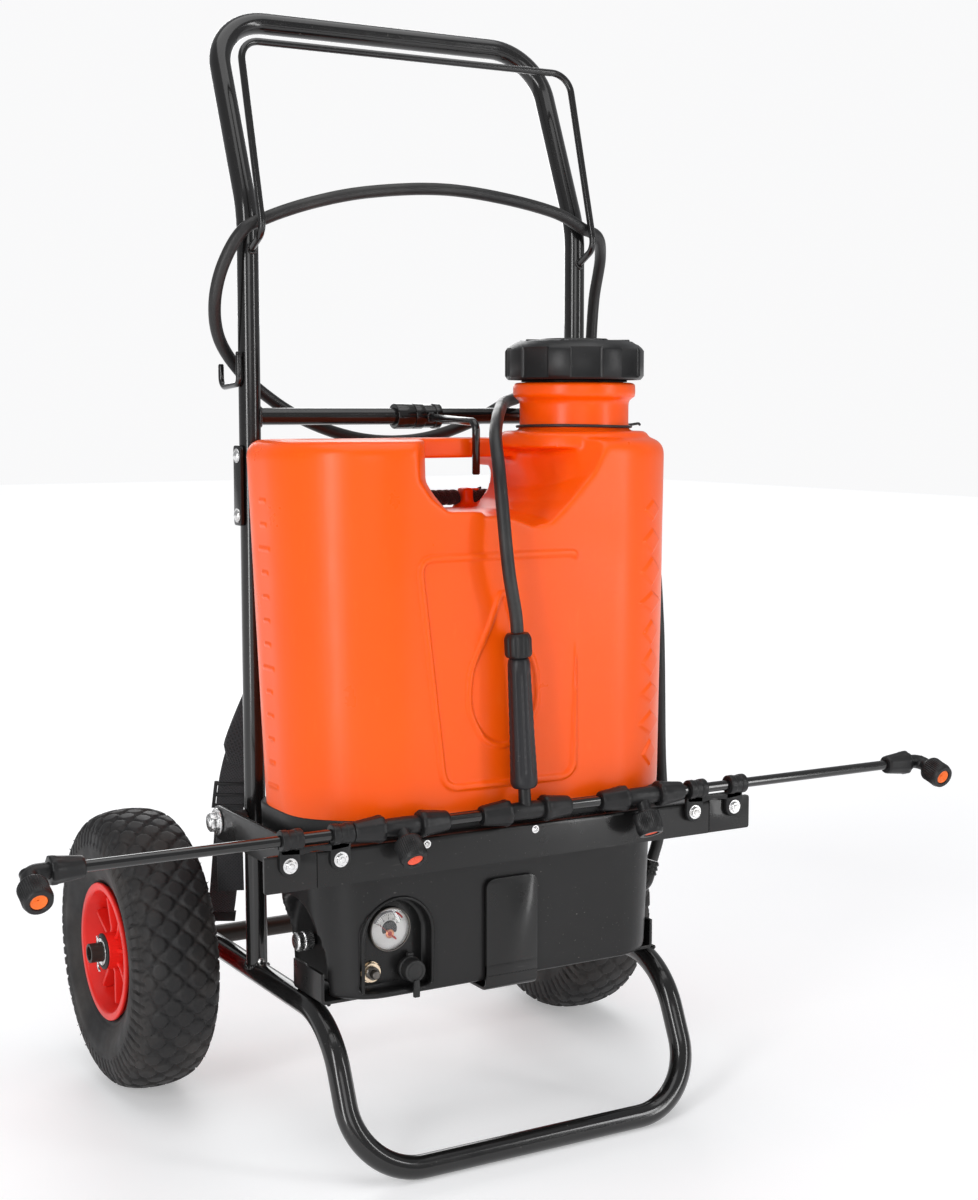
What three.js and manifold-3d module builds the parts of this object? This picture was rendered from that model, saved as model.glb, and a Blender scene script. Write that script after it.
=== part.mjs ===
// Wheeled battery sprayer cart: a knapsack sprayer carried on a two-wheel tube trolley, with a
// four-nozzle boom in front. Millimetres. X runs across the cart, the front faces -Y, Z is up.
// The origin is on the ground, midway between the uprights.
import * as THREE from 'three';
import { mergeVertices } from 'three/addons/utils/BufferGeometryUtils.js';
import Module from 'manifold-3d';

const wasm = await Module();
wasm.setup();

// ---------------------------------------------------------------- driving dimensions
const GAP = 0.3;                       // clearance between pieces that touch

const WHEEL_R = 130;
const WHEEL_X = 235;                   // middle of each tyre
const TYRE_HALF_W = 40;
const RIM_LIP_R = 63;
const HUB_R = 17;
const RIM_RIBS = 8;
const AXLE_Y = 128;
const AXLE_R = 9;
const AXLE_END_X = 282;

const TUBE_WALL = 1.5;
const LOOP_R = 10;                     // base loop tube
const RAIL_Z = WHEEL_R;
const FRAME_X = 168;                   // rails and uprights, each side of the middle
const FOOT_Y = -206;
const LEG_SLOPE = 0.45;                // how far a leg runs forward for each mm it drops

const UPRIGHT_R = 9.5;
const HANDLE_BEND_Z = 803;
const HANDLE_LEAN = THREE.MathUtils.degToRad(23);
const HANDLE_TOP_Z = 979;
const CROSSBAR_Z = 627;
const CROSSBAR_R = 7.5;
const BAIL_R = 3.2;

const SPRAYER_X = -6;                  // the sprayer and boom frame sit a little to the left
const TANK_HALF_W = 192;
const TANK_BACK_Y = -13;
const TANK_FRONT_Y = -185;
const TANK_BOTTOM_Z = 286;
const TANK_TOP_Z = 608;
const TANK_WALL = 4;
const NECK_X = 104;
const NECK_Y = -100;
const NECK_R = 49;
const NECK_TOP_Z = 657;
const CAP_R = 61.5;
const GRIP_LEFT_X = -54;
const GRIP_RIGHT_X = 52;
const GRIP_BACK_Y = -38;
const GRIP_FRONT_Y = -84;
const GAP_BOTTOM_Z = 545;
const GAP_TOP_Z = 591;
const GAP_SLANT = { x: -36, z: 571 };  // where the gap's slanted lower left corner meets its floor and side
const GAP_RISE = { x: 30, z: 566 };  // the same for its lower right corner
const SCOOP_FLARE = 62;  // how much farther out the sides of the scoop in front of the gap lie at its mouth

const BASE_BOTTOM_Z = 144;
const BASE_TOP_Z = 285;
const BASE_HALF_W = 163;
const BASE_BACK_Y = -34;
const BASE_FRONT_Y = -168;
const BASE_WALL = 4;

const ARM_X = 195;                     // boom arms, each side of the sprayer's middle
const ARM_T = 4;
const ARM_BOTTOM_Z = 255;
const ARM_TOP_Z = 285;
const ARM_BOLT_Z = 271;
const PLATE_Y = -198;                  // front face of the boom frame's plate
const EAR_W = 39;

const BOOM_Y = -203;
const BOOM_Z = 298;
const BOOM_TUBE_R = 4.5;
const CENTRE_TEE_X = -9;
const TEE_OFFSET = 118;                // nozzle tees, each side of the centre tee
const ELBOW_X = 433;
const NUT_START = 17;                  // compression nuts, from the middle of their fitting
const NUT_END = 43;
const NOZZLE_REACH = 35;               // nozzle face, from the boom's axis

const HOSE_R = 5.5;
const HOSE_STEPS = 78;
const LANCE_LEAN = THREE.MathUtils.degToRad(-3);

const STRAP_W = 26;

// Route of the hose, from the outlet on the base to the nut on the lance grip.
const HOSE_ROUTE = [
  [190, -106, 210], [198, -105, 232], [203, -103, 262], [202, -101, 310], [200, -98, 440],
  [199, -88, 505], [197, -55, 560], [193, -10, 610], [198, 18, 655], [206, 28, 700],
  [208, 26, 742], [203, 8, 780], [186, -12, 797], [164, -20, 803], [135, -22, 815],
  [25, -23, 830], [-60, -22, 824], [-115, -21, 812], [-158, -20, 797], [-179, -18, 786],
  [-195, -11, 757], [-199, 0, 725], [-190, 14, 695], [-168, 24, 668], [-140, 27, 645],
  [-100, 27, 622], [-45, 26, 606], [15, 26, 606], [70, 24, 622], [102, 8, 642],
  [88, -24, 643], [60, -50, 639], [34, -88, 633], [8, -128, 626], [-14, -162, 610],
  [-26, -188, 584], [-30, -202, 545], [-27, -206, 500], [-18.6, -203.3, 463], [-17.1, -203, 449.4],
];

// ---------------------------------------------------------------- materials
function finish(color, roughness, metalness = 0) {
  return { color, roughness, metalness };
}
const BLACK_PAINT = finish(0x0c0c0d, 0.25, 0.3);
const BLACK_PLASTIC = finish(0x1b1b1d, 0.5);
const ORANGE_PLASTIC = finish(0xff5a08, 0.4);
const ORANGE_TIP = finish(0xe85a2a, 0.45);
const RED_PLASTIC = finish(0xe0281f, 0.4);
const RUBBER = finish(0x1d1c1c, 0.85);
const ZINC = finish(0xb9bcc0, 0.3, 1);
const DIAL_WHITE = finish(0xf0f0ec, 0.5);
const CLEAR = finish(0xe8eef0, 0.1);
const WEBBING = finish(0x202022, 0.9);
const BATTERY_GREY = finish(0x3a3d44, 0.6);

// ---------------------------------------------------------------- solids
function signedVolume(positions, index) {
  const a = new THREE.Vector3();
  const b = new THREE.Vector3();
  const c = new THREE.Vector3();
  let total = 0;
  for (let i = 0; i < index.length; i += 3) {
    a.fromArray(positions, index[i] * 3);
    b.fromArray(positions, index[i + 1] * 3);
    c.fromArray(positions, index[i + 2] * 3);
    total += a.dot(b.cross(c)) / 6;
  }
  return total;
}

// The solid of a closed geometry. A geometry that came from a solid and hasn't moved gives it back.
function solid(geometry) {
  const made = geometry.userData.made;
  if (made && made.version === geometry.attributes.position.version) return made.manifold;
  const bare = geometry.clone();
  bare.deleteAttribute('normal');
  bare.deleteAttribute('uv');
  const merged = mergeVertices(bare, 1e-4);
  const vertProperties = new Float32Array(merged.attributes.position.array);
  const triVerts = new Uint32Array(merged.index.array);
  if (signedVolume(vertProperties, triVerts) < 0) {
    for (let i = 0; i < triVerts.length; i += 3) {
      [triVerts[i], triVerts[i + 1]] = [triVerts[i + 1], triVerts[i]];
    }
  }
  return new wasm.Manifold(new wasm.Mesh({ numProp: 3, vertProperties, triVerts }));
}

function geometryOf(manifold) {
  const mesh = manifold.getMesh();
  const geometry = new THREE.BufferGeometry();
  geometry.setAttribute('position', new THREE.BufferAttribute(mesh.vertProperties, 3));
  geometry.setIndex(new THREE.BufferAttribute(mesh.triVerts, 1));
  geometry.userData.made = { manifold, version: geometry.attributes.position.version };
  return geometry;
}

function join(...geometries) {
  return geometryOf(geometries.map(solid).reduce((a, b) => a.add(b)));
}

function cut(geometry, ...tools) {
  return geometryOf(tools.map(solid).reduce((a, b) => a.subtract(b), solid(geometry)));
}

// A box given by its lowest and highest corners.
function block(x0, y0, z0, x1, y1, z1) {
  const geometry = new THREE.BoxGeometry(x1 - x0, y1 - y0, z1 - z0);
  return geometry.translate((x0 + x1) / 2, (y0 + y1) / 2, (z0 + z1) / 2);
}

// A turned piece: profile points are [radius, height], turned about Z.
function turned(profile, sides = 20) {
  const points = profile.map(([r, z]) => new THREE.Vector2(r, z));
  return new THREE.LatheGeometry(points, sides).rotateX(Math.PI / 2);
}

function rod(radius, from, to, sides = 12) {
  const profile = [[0, from], [radius, from], [radius, to], [0, to]];
  return turned(profile, sides);
}

function ring(inner, outer, from, to, sides = 20) {
  return turned([[inner, from], [outer, from], [outer, to], [inner, to], [inner, from]], sides);
}

const alongX = (geometry) => geometry.rotateY(Math.PI / 2);
const alongY = (geometry) => geometry.rotateX(-Math.PI / 2);

// ---------------------------------------------------------------- paths
// A path that visits the given points at even parameters, so bends get points and straights don't.
class PointPath extends THREE.Curve {
  constructor(points, widthDirection = null) {
    super();
    this.points = points;
    this.widthDirection = widthDirection;
  }

  getPointAt(u, target = new THREE.Vector3()) {
    return target.copy(this.points[Math.round(u * (this.points.length - 1))]);
  }

  getTangentAt(u, target = new THREE.Vector3()) {
    const last = this.points.length - 1;
    const i = Math.round(u * last);
    const before = this.points[Math.max(i - 1, 0)];
    const here = this.points[i];
    const after = this.points[Math.min(i + 1, last)];
    target.set(0, 0, 0);
    if (i > 0) target.add(here.clone().sub(before).normalize());
    if (i < last) target.add(after.clone().sub(here).normalize());
    return target.normalize();
  }

  computeFrenetFrames(segments, closed) {
    const frames = super.computeFrenetFrames(segments, closed);
    if (this.widthDirection) {
      frames.tangents.forEach((tangent, i) => {
        const wide = this.widthDirection.clone().addScaledVector(tangent, -tangent.dot(this.widthDirection));
        frames.binormals[i] = wide.normalize();
        frames.normals[i] = frames.binormals[i].clone().cross(tangent).normalize();
      });
    }
    return frames;
  }
}

const v3 = (x, y, z) => new THREE.Vector3(x, y, z);

// Points along a bent tube's centreline: corners with a radius each, rounded by arcs.
function bentPoints(corners, steps = 5) {
  const points = [corners[0].at];
  for (let i = 1; i < corners.length - 1; i += 1) {
    const { at, radius } = corners[i];
    const back = corners[i - 1].at.clone().sub(at).normalize();
    const ahead = corners[i + 1].at.clone().sub(at).normalize();
    const half = back.angleTo(ahead) / 2;
    const start = at.clone().addScaledVector(back, radius / Math.tan(half));
    const centre = at.clone().addScaledVector(back.clone().add(ahead).normalize(), radius / Math.sin(half));
    const spoke = start.clone().sub(centre);
    const axis = ahead.clone().cross(back).normalize();
    const sweep = Math.PI - 2 * half;
    for (let k = 0; k <= steps; k += 1) {
      points.push(spoke.clone().applyAxisAngle(axis, sweep * k / steps).add(centre));
    }
  }
  points.push(corners[corners.length - 1].at);
  return points;
}

function polygonPoints(radius, sides) {
  return Array.from({ length: sides }, (_, i) => {
    const angle = 2 * Math.PI * i / sides;
    return new THREE.Vector2(radius * Math.cos(angle), radius * Math.sin(angle));
  });
}

// A round section, hollow when a wall thickness is given.
function polygon(radius, sides, wall = 0) {
  const shape = new THREE.Shape(polygonPoints(radius, sides));
  if (wall > 0) shape.holes.push(new THREE.Path(polygonPoints(radius - wall, sides)));
  return shape;
}

function sweep(shape, points, widthDirection = null) {
  return new THREE.ExtrudeGeometry(shape, {
    steps: points.length - 1,
    extrudePath: new PointPath(points, widthDirection),
  });
}

function bentTube(corners, radius, sides, steps, wall = 0) {
  return sweep(polygon(radius, sides, wall), bentPoints(corners, steps));
}

// ---------------------------------------------------------------- the scene
const cart = new THREE.Group();

function place(name, geometry, look, parent = cart) {
  const mesh = new THREE.Mesh(geometryOf(solid(geometry)), new THREE.MeshStandardMaterial(look));
  mesh.name = name;
  parent.add(mesh);
  return mesh;
}

// ---------------------------------------------------------------- trolley
function baseLoop() {
  const legTop = FOOT_Y + (RAIL_Z - LOOP_R) * LEG_SLOPE;
  const railEnd = AXLE_Y - AXLE_R - GAP;
  const corners = [
    { at: v3(-FRAME_X, railEnd, RAIL_Z) },
    { at: v3(-FRAME_X, legTop, RAIL_Z), radius: 70 },
    { at: v3(-FRAME_X, FOOT_Y, LOOP_R), radius: 60 },
    { at: v3(FRAME_X, FOOT_Y, LOOP_R), radius: 60 },
    { at: v3(FRAME_X, legTop, RAIL_Z), radius: 70 },
    { at: v3(FRAME_X, railEnd, RAIL_Z) },
  ];
  return bentTube(corners, LOOP_R, 10, 5, TUBE_WALL);
}

function rearAxle() {
  return alongX(ring(AXLE_R - 2.5, AXLE_R, -AXLE_END_X, AXLE_END_X, 16)).translate(0, AXLE_Y, WHEEL_R);
}

function handleFrame() {
  const run = (HANDLE_TOP_Z - HANDLE_BEND_Z) * Math.tan(HANDLE_LEAN);
  const foot = RAIL_Z + 4;
  const corners = [
    { at: v3(-FRAME_X, 0, foot) },
    { at: v3(-FRAME_X, 0, HANDLE_BEND_Z), radius: 90 },
    { at: v3(-FRAME_X, run, HANDLE_TOP_Z), radius: 50 },
    { at: v3(FRAME_X, run, HANDLE_TOP_Z), radius: 50 },
    { at: v3(FRAME_X, 0, HANDLE_BEND_Z), radius: 90 },
    { at: v3(FRAME_X, 0, foot) },
  ];
  const tube = bentTube(corners, UPRIGHT_R, 10, 4, TUBE_WALL);
  const tools = [];
  for (const side of [-1, 1]) {
    const saddle = alongY(rod(LOOP_R + GAP, -30, 30, 24)).translate(side * FRAME_X, 0, RAIL_Z);
    const boltHole = alongX(rod(5.3, -30, 30, 12)).translate(side * FRAME_X, 0, ARM_BOLT_Z);
    tools.push(saddle, boltHole);
  }
  return cut(tube, ...tools);
}

function crossbar() {
  const bar = alongX(rod(CROSSBAR_R, -FRAME_X, FRAME_X, 14)).translate(0, 0, CROSSBAR_Z);
  const uprights = [-1, 1].map((side) => rod(UPRIGHT_R + GAP, CROSSBAR_Z - 30, CROSSBAR_Z + 30, 24)
    .translate(side * FRAME_X, 0, 0));
  return cut(bar, ...uprights);
}

// A thin rod loop welded to the fronts of the uprights: the hose lies in its crook.
function hoseBail() {
  const startX = FRAME_X;
  const weldZ = 771;
  const front = v3(0, -34, 784);
  const top = v3(0, 12, 950);
  const start = -UPRIGHT_R - GAP;
  const corners = [
    { at: v3(-startX, start, weldZ) },
    { at: v3(-startX, front.y, front.z), radius: 12 },
    { at: v3(-startX, top.y, top.z), radius: 18 },
    { at: v3(startX, top.y, top.z), radius: 18 },
    { at: v3(startX, front.y, front.z), radius: 12 },
    { at: v3(startX, start, weldZ) },
  ];
  return cut(bentTube(corners, BAIL_R, 8, 3), ...[-1, 1].map((side) => rod(UPRIGHT_R + GAP, 740, 800, 24)
    .translate(side * FRAME_X, 0, 0)));
}

function hoseHook() {
  const x = -FRAME_X - UPRIGHT_R - GAP - 2.6;
  const corners = [
    { at: v3(x, -6, 682) },
    { at: v3(x, -6, 655), radius: 6 },
    { at: v3(x, 34, 652), radius: 9 },
    { at: v3(x, 34, 672) },
  ];
  return bentTube(corners, 2.5, 8, 3);
}

function splicePlate() {
  const x = -FRAME_X - UPRIGHT_R - GAP;
  const plate = block(x - 3, -8, 532, x, 8, 602);
  const screws = [541, 593].map((z) => alongX(turned([[0, -2.6], [3.4, -2.4], [4.6, 0], [4.6, 1], [0, 1]], 10))
    .translate(x - 3, 0, z));
  return join(plate, ...screws);
}

// ---------------------------------------------------------------- tray that carries the sprayer
const TRAY_Z = RAIL_Z + LOOP_R + GAP;
const TRAY_FRONT_Y = -148;
const TRAY_BACK_Y = -92;

function trayBar() {
  const t = 3;
  const lugTop = 167;
  const half = BASE_HALF_W + GAP + 1;
  const flat = block(SPRAYER_X - half - t, TRAY_FRONT_Y, TRAY_Z, SPRAYER_X + half + t, TRAY_BACK_Y, TRAY_Z + t);
  const lugs = [-1, 1].map((side) => {
    const inner = SPRAYER_X + side * half;
    const outer = inner + side * t;
    return block(Math.min(inner, outer), TRAY_FRONT_Y, TRAY_Z, Math.max(inner, outer), TRAY_BACK_Y, lugTop);
  });
  return join(flat, ...lugs);
}

function roundedPlateXZ(x0, x1, z0, z1, radius, y0, thickness) {
  const shape = new THREE.Shape();
  shape.moveTo(x0, z0);
  shape.lineTo(x1, z0);
  shape.lineTo(x1, z1 - radius);
  shape.absarc(x1 - radius, z1 - radius, radius, 0, Math.PI / 2);
  shape.absarc(x0 + radius, z1 - radius, radius, Math.PI / 2, Math.PI);
  const plate = new THREE.ExtrudeGeometry(shape, { depth: thickness, bevelEnabled: false, curveSegments: 4 });
  return plate.rotateX(Math.PI / 2).translate(0, y0 + thickness, 0);
}

function catchStrap() {
  const t = 3;
  const frontY = BASE_FRONT_Y - GAP - 5;
  const top = TRAY_Z - GAP;
  const run = block(-31, frontY - t, top - t, 20, TRAY_BACK_Y, top);
  return join(run, roundedPlateXZ(-31, 20, top - t, 235, 10, frontY - t, t));
}

// ---------------------------------------------------------------- rod that hooks over the tank's grip
const HOOK_X = 7;

function tankHook() {
  const corners = [
    { at: v3(HOOK_X, -CROSSBAR_R - GAP - 1, CROSSBAR_Z - 1) },
    { at: v3(HOOK_X, GRIP_FRONT_Y - 8, CROSSBAR_Z - 5), radius: 8 },
    { at: v3(HOOK_X, GRIP_FRONT_Y - 8, 577) },
  ];
  const collar = alongX(ring(CROSSBAR_R + GAP, CROSSBAR_R + 4, -27, 19, 18)).translate(0, 0, CROSSBAR_Z);
  return join(bentTube(corners, 3.5, 10, 4), collar);
}

place('base_loop', baseLoop(), BLACK_PAINT);
place('rear_axle', rearAxle(), BLACK_PAINT);
place('handle_frame', handleFrame(), BLACK_PAINT);
place('crossbar', crossbar(), BLACK_PAINT);
place('hose_bail', hoseBail(), BLACK_PAINT);
place('hose_hook', hoseHook(), BLACK_PAINT);
place('splice_plate', splicePlate(), BLACK_PAINT);
place('tray_bar', trayBar(), BLACK_PAINT);
place('catch_strap', catchStrap(), BLACK_PAINT);
place('tank_hook', tankHook(), BLACK_PAINT);

// ---------------------------------------------------------------- wheels
// Profiles are [radius, distance outward from the tyre's middle].
function tyre() {
  const profile = [
    [61, -27], [90, -TYRE_HALF_W], [112, -38], [124, -32], [WHEEL_R, -10], [WHEEL_R, 10], [124, 32],
    [112, 38], [90, TYRE_HALF_W], [61, 27], [61, 18], [92, 33], [112, 28], [119, 0], [112, -28], [92, -33],
    [61, -18], [61, -27],
  ];
  return alongX(turned(profile, 24));
}

function rim() {
  const t = 3;
  const shell = [
    [RIM_LIP_R + 1, 31], [RIM_LIP_R + 1, 34], [57, 34], [47, 4], [HUB_R, 4], [HUB_R, 33], [13.2, 33],
    [13.2, -33], [HUB_R, -33], [HUB_R, 4 - t], [47, 4 - t], [57, -34], [RIM_LIP_R + 1, -34],
    [RIM_LIP_R + 1, -31], [60.4, -28], [60.4, 28], [RIM_LIP_R + 1, 31],
  ];
  const body = alongX(turned(shell, 24));
  const ribs = Array.from({ length: RIM_RIBS }, (_, i) => block(4, -2, HUB_R - 2, 26, 2, 51)
    .rotateX(2 * Math.PI * i / RIM_RIBS));
  return join(body, ...ribs);
}

for (const [word, side] of [['left', -1], ['right', 1]]) {
  const wheel = new THREE.Group();
  wheel.position.set(side * WHEEL_X, AXLE_Y, WHEEL_R);
  wheel.rotation.z = side < 0 ? Math.PI : 0;
  cart.add(wheel);
  place(`tyre_${word}`, tyre(), RUBBER, wheel);
  place(`rim_${word}`, rim(), RED_PLASTIC, wheel);
  place(`hub_bush_${word}`, alongX(ring(AXLE_R + GAP, 12.8, -33, 33, 16)), BLACK_PLASTIC, wheel);
  place(`axle_washer_${word}`, alongX(ring(AXLE_R + GAP, 15, 33.4, 35.6, 16)), ZINC, wheel);
}

// ---------------------------------------------------------------- tank and base shells
// A rounded box: rounder in front than behind, with its sides moved by the given functions of height.
function roundedBody(halfW, backY, frontY, z0, z1, backR, frontR, edge, narrow, backIn, fineness = 3) {
  const shape = new THREE.Shape();
  const a = halfW - edge;
  const back = backY - edge;
  const front = frontY + edge;
  const br = backR - edge;
  const fr = frontR - edge;
  shape.moveTo(-a + fr, front);
  shape.lineTo(a - fr, front);
  shape.absarc(a - fr, front + fr, fr, -Math.PI / 2, 0);
  shape.absarc(a - br, back - br, br, 0, Math.PI / 2);
  shape.absarc(-a + br, back - br, br, Math.PI / 2, Math.PI);
  shape.absarc(-a + fr, front + fr, fr, Math.PI, 1.5 * Math.PI);
  const body = new THREE.ExtrudeGeometry(shape, {
    depth: z1 - z0 - 2 * edge, steps: 1, curveSegments: fineness,
    bevelThickness: edge, bevelSize: edge, bevelSegments: fineness - 1,
  }).translate(0, 0, z0 + edge);
  const position = body.attributes.position;
  for (let i = 0; i < position.count; i += 1) {
    const depth = (z1 - position.getZ(i)) / (z1 - z0);
    const y = position.getY(i);
    const share = (y - frontY) / (backY - frontY);
    position.setX(i, SPRAYER_X + position.getX(i) * (1 - narrow * depth / halfW));
    position.setY(i, y - backIn * depth * share);
  }
  return body;
}

function tankBody(inset) {
  return roundedBody(TANK_HALF_W - inset, TANK_BACK_Y - inset, TANK_FRONT_Y + inset, TANK_BOTTOM_Z + inset,
    TANK_TOP_Z - inset, 60, 88, 12, 9, 20, inset > 0 ? 2 : 3);
}

// A space of the finger gap's outline, from one depth to another. Its left side and the top of its right side
// move outward by flare in front.
function gapSpace(grow, top, frontY, backY, flare = 0) {
  const shape = new THREE.Shape();
  shape.moveTo(GRIP_LEFT_X - grow, top);
  shape.lineTo(GRIP_LEFT_X - grow, GAP_SLANT.z - grow * 0.3);
  shape.lineTo(GAP_SLANT.x - grow * 0.5, GAP_BOTTOM_Z - grow);
  shape.lineTo(GAP_RISE.x + grow * 0.5, GAP_BOTTOM_Z - grow);
  shape.lineTo(GRIP_RIGHT_X + grow, GAP_RISE.z - grow * 0.3);
  shape.lineTo(GRIP_RIGHT_X + grow, top);
  const space = new THREE.ExtrudeGeometry(shape, { depth: backY - frontY, bevelEnabled: false })
    .rotateX(Math.PI / 2).translate(0, backY, 0);
  const position = space.attributes.position;
  for (let i = 0; i < position.count; i += 1) {
    if (position.getY(i) > (frontY + backY) / 2) continue;
    const onLeft = position.getX(i) < 0;
    if (onLeft || position.getZ(i) > GAP_RISE.z) position.setX(i, position.getX(i) + (onLeft ? -flare : flare));
  }
  return space;
}

// Finger gap under the grip, the scoop in front of it and the pocket behind it.
function gripSpaces(grow) {
  const through = gapSpace(grow, GAP_TOP_Z + grow, -220, 20);
  const scoop = gapSpace(grow, 640, -220, GRIP_FRONT_Y + grow, SCOOP_FLARE);
  const pocket = block(-98 - grow, GRIP_BACK_Y - grow, 540 - grow, 86 + grow, 20, 582 + grow);
  return [through, scoop, pocket];
}

const STRAP_POST_X = [-58, 46];
const STRAP_POST_Y = -22;

function tank() {
  const neck = rod(NECK_R, TANK_TOP_Z - 30, NECK_TOP_Z, 24).translate(NECK_X, NECK_Y, 0);
  const collar = turned([[0, 643], [55, 643], [55, NECK_TOP_Z], [0, NECK_TOP_Z]], 24)
    .translate(NECK_X, NECK_Y, 0);
  const shoulder = turned([[0, TANK_TOP_Z - 20], [70, TANK_TOP_Z - 8], [66, TANK_TOP_Z + 6], [0, TANK_TOP_Z + 6]], 24)
    .translate(NECK_X, NECK_Y, 0);
  const mouth = rod(NECK_R - TANK_WALL, TANK_TOP_Z - 34, 700, 24).translate(NECK_X, NECK_Y, 0);
  const hollow = cut(tankBody(TANK_WALL), ...gripSpaces(TANK_WALL));
  const posts = STRAP_POST_X.map((x) => rod(4.5, 538, 593, 10).translate(x, STRAP_POST_Y, 0));
  const outer = cut(tankBody(0), ...gripSpaces(0));
  return cut(join(outer, shoulder, neck, collar, ...posts), hollow, mouth);
}

function tankCap() {
  const outside = [
    [0, 694], [52, 694], [55, 691], [CAP_R, 686], [CAP_R, 662], [CAP_R - 2, 659.5], [57, 659.5],
    [57, 688], [0, 688],
  ];
  const top = join(turned(outside, 24), rod(30, 687, 696, 16));
  const grips = Array.from({ length: 8 }, (_, i) => block(CAP_R - 1.5, -8, 662, CAP_R + 1, 8, 686)
    .rotateZ(2 * Math.PI * i / 8));
  return join(top, ...grips).translate(NECK_X, NECK_Y, 0);
}

function strainerBasket() {
  const t = 1.5;
  const profile = [
    [47.5, 657.5], [47.5, 659], [44, 659], [43.5, 657.5], [38, 565], [0, 565], [0, 565 - t], [38 + t, 565 - t],
    [44, 650], [44, 657.5], [47.5, 657.5],
  ];
  return turned(profile, 18).translate(NECK_X, NECK_Y, 0);
}

function capTether() {
  const loop = ring(NECK_R + 0.6, NECK_R + 4.5, 617, 620, 24);
  const tail = block(NECK_R + 2, -4, 617, NECK_R + 24, 2, 620);
  return join(loop, tail).translate(NECK_X, NECK_Y, 0);
}

function baseBody(inset) {
  const fineness = inset > 0 ? 2 : 3;
  const skirt = roundedBody(BASE_HALF_W + 6 - inset, BASE_BACK_Y + 2 - inset, BASE_FRONT_Y - 4 + inset,
    BASE_BOTTOM_Z + GAP + inset, 262, 44, 48, 6, 6, 2, fineness);
  const rimBand = roundedBody(TANK_HALF_W - 10 - inset, TANK_BACK_Y - 22 - inset, TANK_FRONT_Y + 2 + inset, 250,
    BASE_TOP_Z - inset, 50, 72, 6, 4, 0, fineness);
  return join(skirt, rimBand);
}

const KNOB_Y = -84;
const PORT_Y = -92;
const KNOB_Z = 178;
const PANEL_X = -113;
const PANEL_HALF_W = 32;
const PANEL_TOP_Z = 229;
const PANEL_BOTTOM_Z = 151;
const PANEL_Y = BASE_FRONT_Y - 4 + 14;

function panelRecess(depthY) {
  const shape = new THREE.Shape();
  const top = PANEL_TOP_Z - PANEL_HALF_W;
  shape.moveTo(-PANEL_HALF_W, PANEL_BOTTOM_Z);
  shape.lineTo(PANEL_HALF_W, PANEL_BOTTOM_Z);
  shape.lineTo(PANEL_HALF_W, top);
  shape.absarc(0, top, PANEL_HALF_W, 0, Math.PI);
  return new THREE.ExtrudeGeometry(shape, { depth: 60, bevelEnabled: false, curveSegments: 6 })
    .rotateX(Math.PI / 2).translate(PANEL_X, depthY, 0);
}

// The arch cut out of the left side, through which the pressure regulator is reached.
function sidePort(halfW, x0, x1, top) {
  const shape = new THREE.Shape();
  shape.moveTo(-halfW, 130);
  shape.lineTo(halfW, 130);
  shape.lineTo(halfW, top - halfW);
  shape.absarc(0, top - halfW, halfW, 0, Math.PI);
  return new THREE.ExtrudeGeometry(shape, { depth: x1 - x0, bevelEnabled: false, curveSegments: 5 })
    .rotateX(Math.PI / 2).rotateZ(Math.PI / 2).translate(x0, PORT_Y, 0);
}

const GAUGE = { x: -116, z: 201, r: 19 };
const SWITCH = { x: -133, z: 166 };
const SOCKET = { x: -98, z: 165 };
const OUTLET = { y: -106, z: 187 };

const HATCH = { x0: -78, x1: 68, y0: -146, y1: -58 };

function hatchBlock(grow, z0, z1) {
  return block(HATCH.x0 - grow, HATCH.y0 - grow, z0, HATCH.x1 + grow, HATCH.y1 + grow, z1);
}

function baseHousing() {
  const outer = cut(baseBody(0), panelRecess(PANEL_Y));
  const hollow = cut(baseBody(BASE_WALL), panelRecess(PANEL_Y + BASE_WALL));
  const gaugeHole = alongY(rod(16.3, -40, 40, 20)).translate(GAUGE.x, PANEL_Y, GAUGE.z);
  const switchHole = alongY(rod(5.8, -40, 40, 14)).translate(SWITCH.x, PANEL_Y, SWITCH.z);
  const socketHole = alongY(rod(6.6, -40, 40, 14)).translate(SOCKET.x, PANEL_Y, SOCKET.z);
  const port = sidePort(50, SPRAYER_X - BASE_HALF_W - 30, SPRAYER_X - BASE_HALF_W + 20, 220);
  const outletHole = alongX(rod(8.3, 0, 60, 16)).translate(SPRAYER_X + BASE_HALF_W - 30, OUTLET.y, OUTLET.z);
  return cut(outer, hollow, gaugeHole, switchHole, socketHole, port, outletHole, hatchBlock(0, 130, 160));
}

function baseCover() {
  return hatchBlock(-GAP, BASE_BOTTOM_Z + GAP, BASE_BOTTOM_Z + BASE_WALL);
}

function battery() {
  const body = block(-62, -140, 150, 62, -74, 232);
  const terminals = [-40, 40].map((x) => block(x - 4, -110, 231, x + 4, -104, 238));
  return join(body, ...terminals);
}

// Diaphragm pump with its motor and the stem of the pressure regulator.
function pump() {
  const head = block(-138, -106, 156, -112, -62, 200);
  const motor = alongX(rod(19, -113, -70, 20)).translate(0, KNOB_Y, KNOB_Z);
  const stem = alongX(rod(5, -158, -137, 14)).translate(0, KNOB_Y, KNOB_Z);
  return join(head, motor, stem);
}

function regulatorKnob() {
  const body = alongX(rod(8.3, -168, -152, 20)).translate(0, KNOB_Y, KNOB_Z);
  const socket = alongX(rod(5 + GAP, -159, -140, 14)).translate(0, KNOB_Y, KNOB_Z);
  return cut(body, socket);
}

// A rod from one point to another.
function rodBetween(from, to, radius, sides = 12) {
  const direction = to.clone().sub(from);
  const turn = new THREE.Quaternion().setFromUnitVectors(v3(0, 0, 1), direction.clone().normalize());
  return rod(radius, 0, direction.length(), sides).applyQuaternion(turn).translate(from.x, from.y, from.z);
}

const routePoints = HOSE_ROUTE.map(([x, y, z]) => v3(x, y, z));

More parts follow.
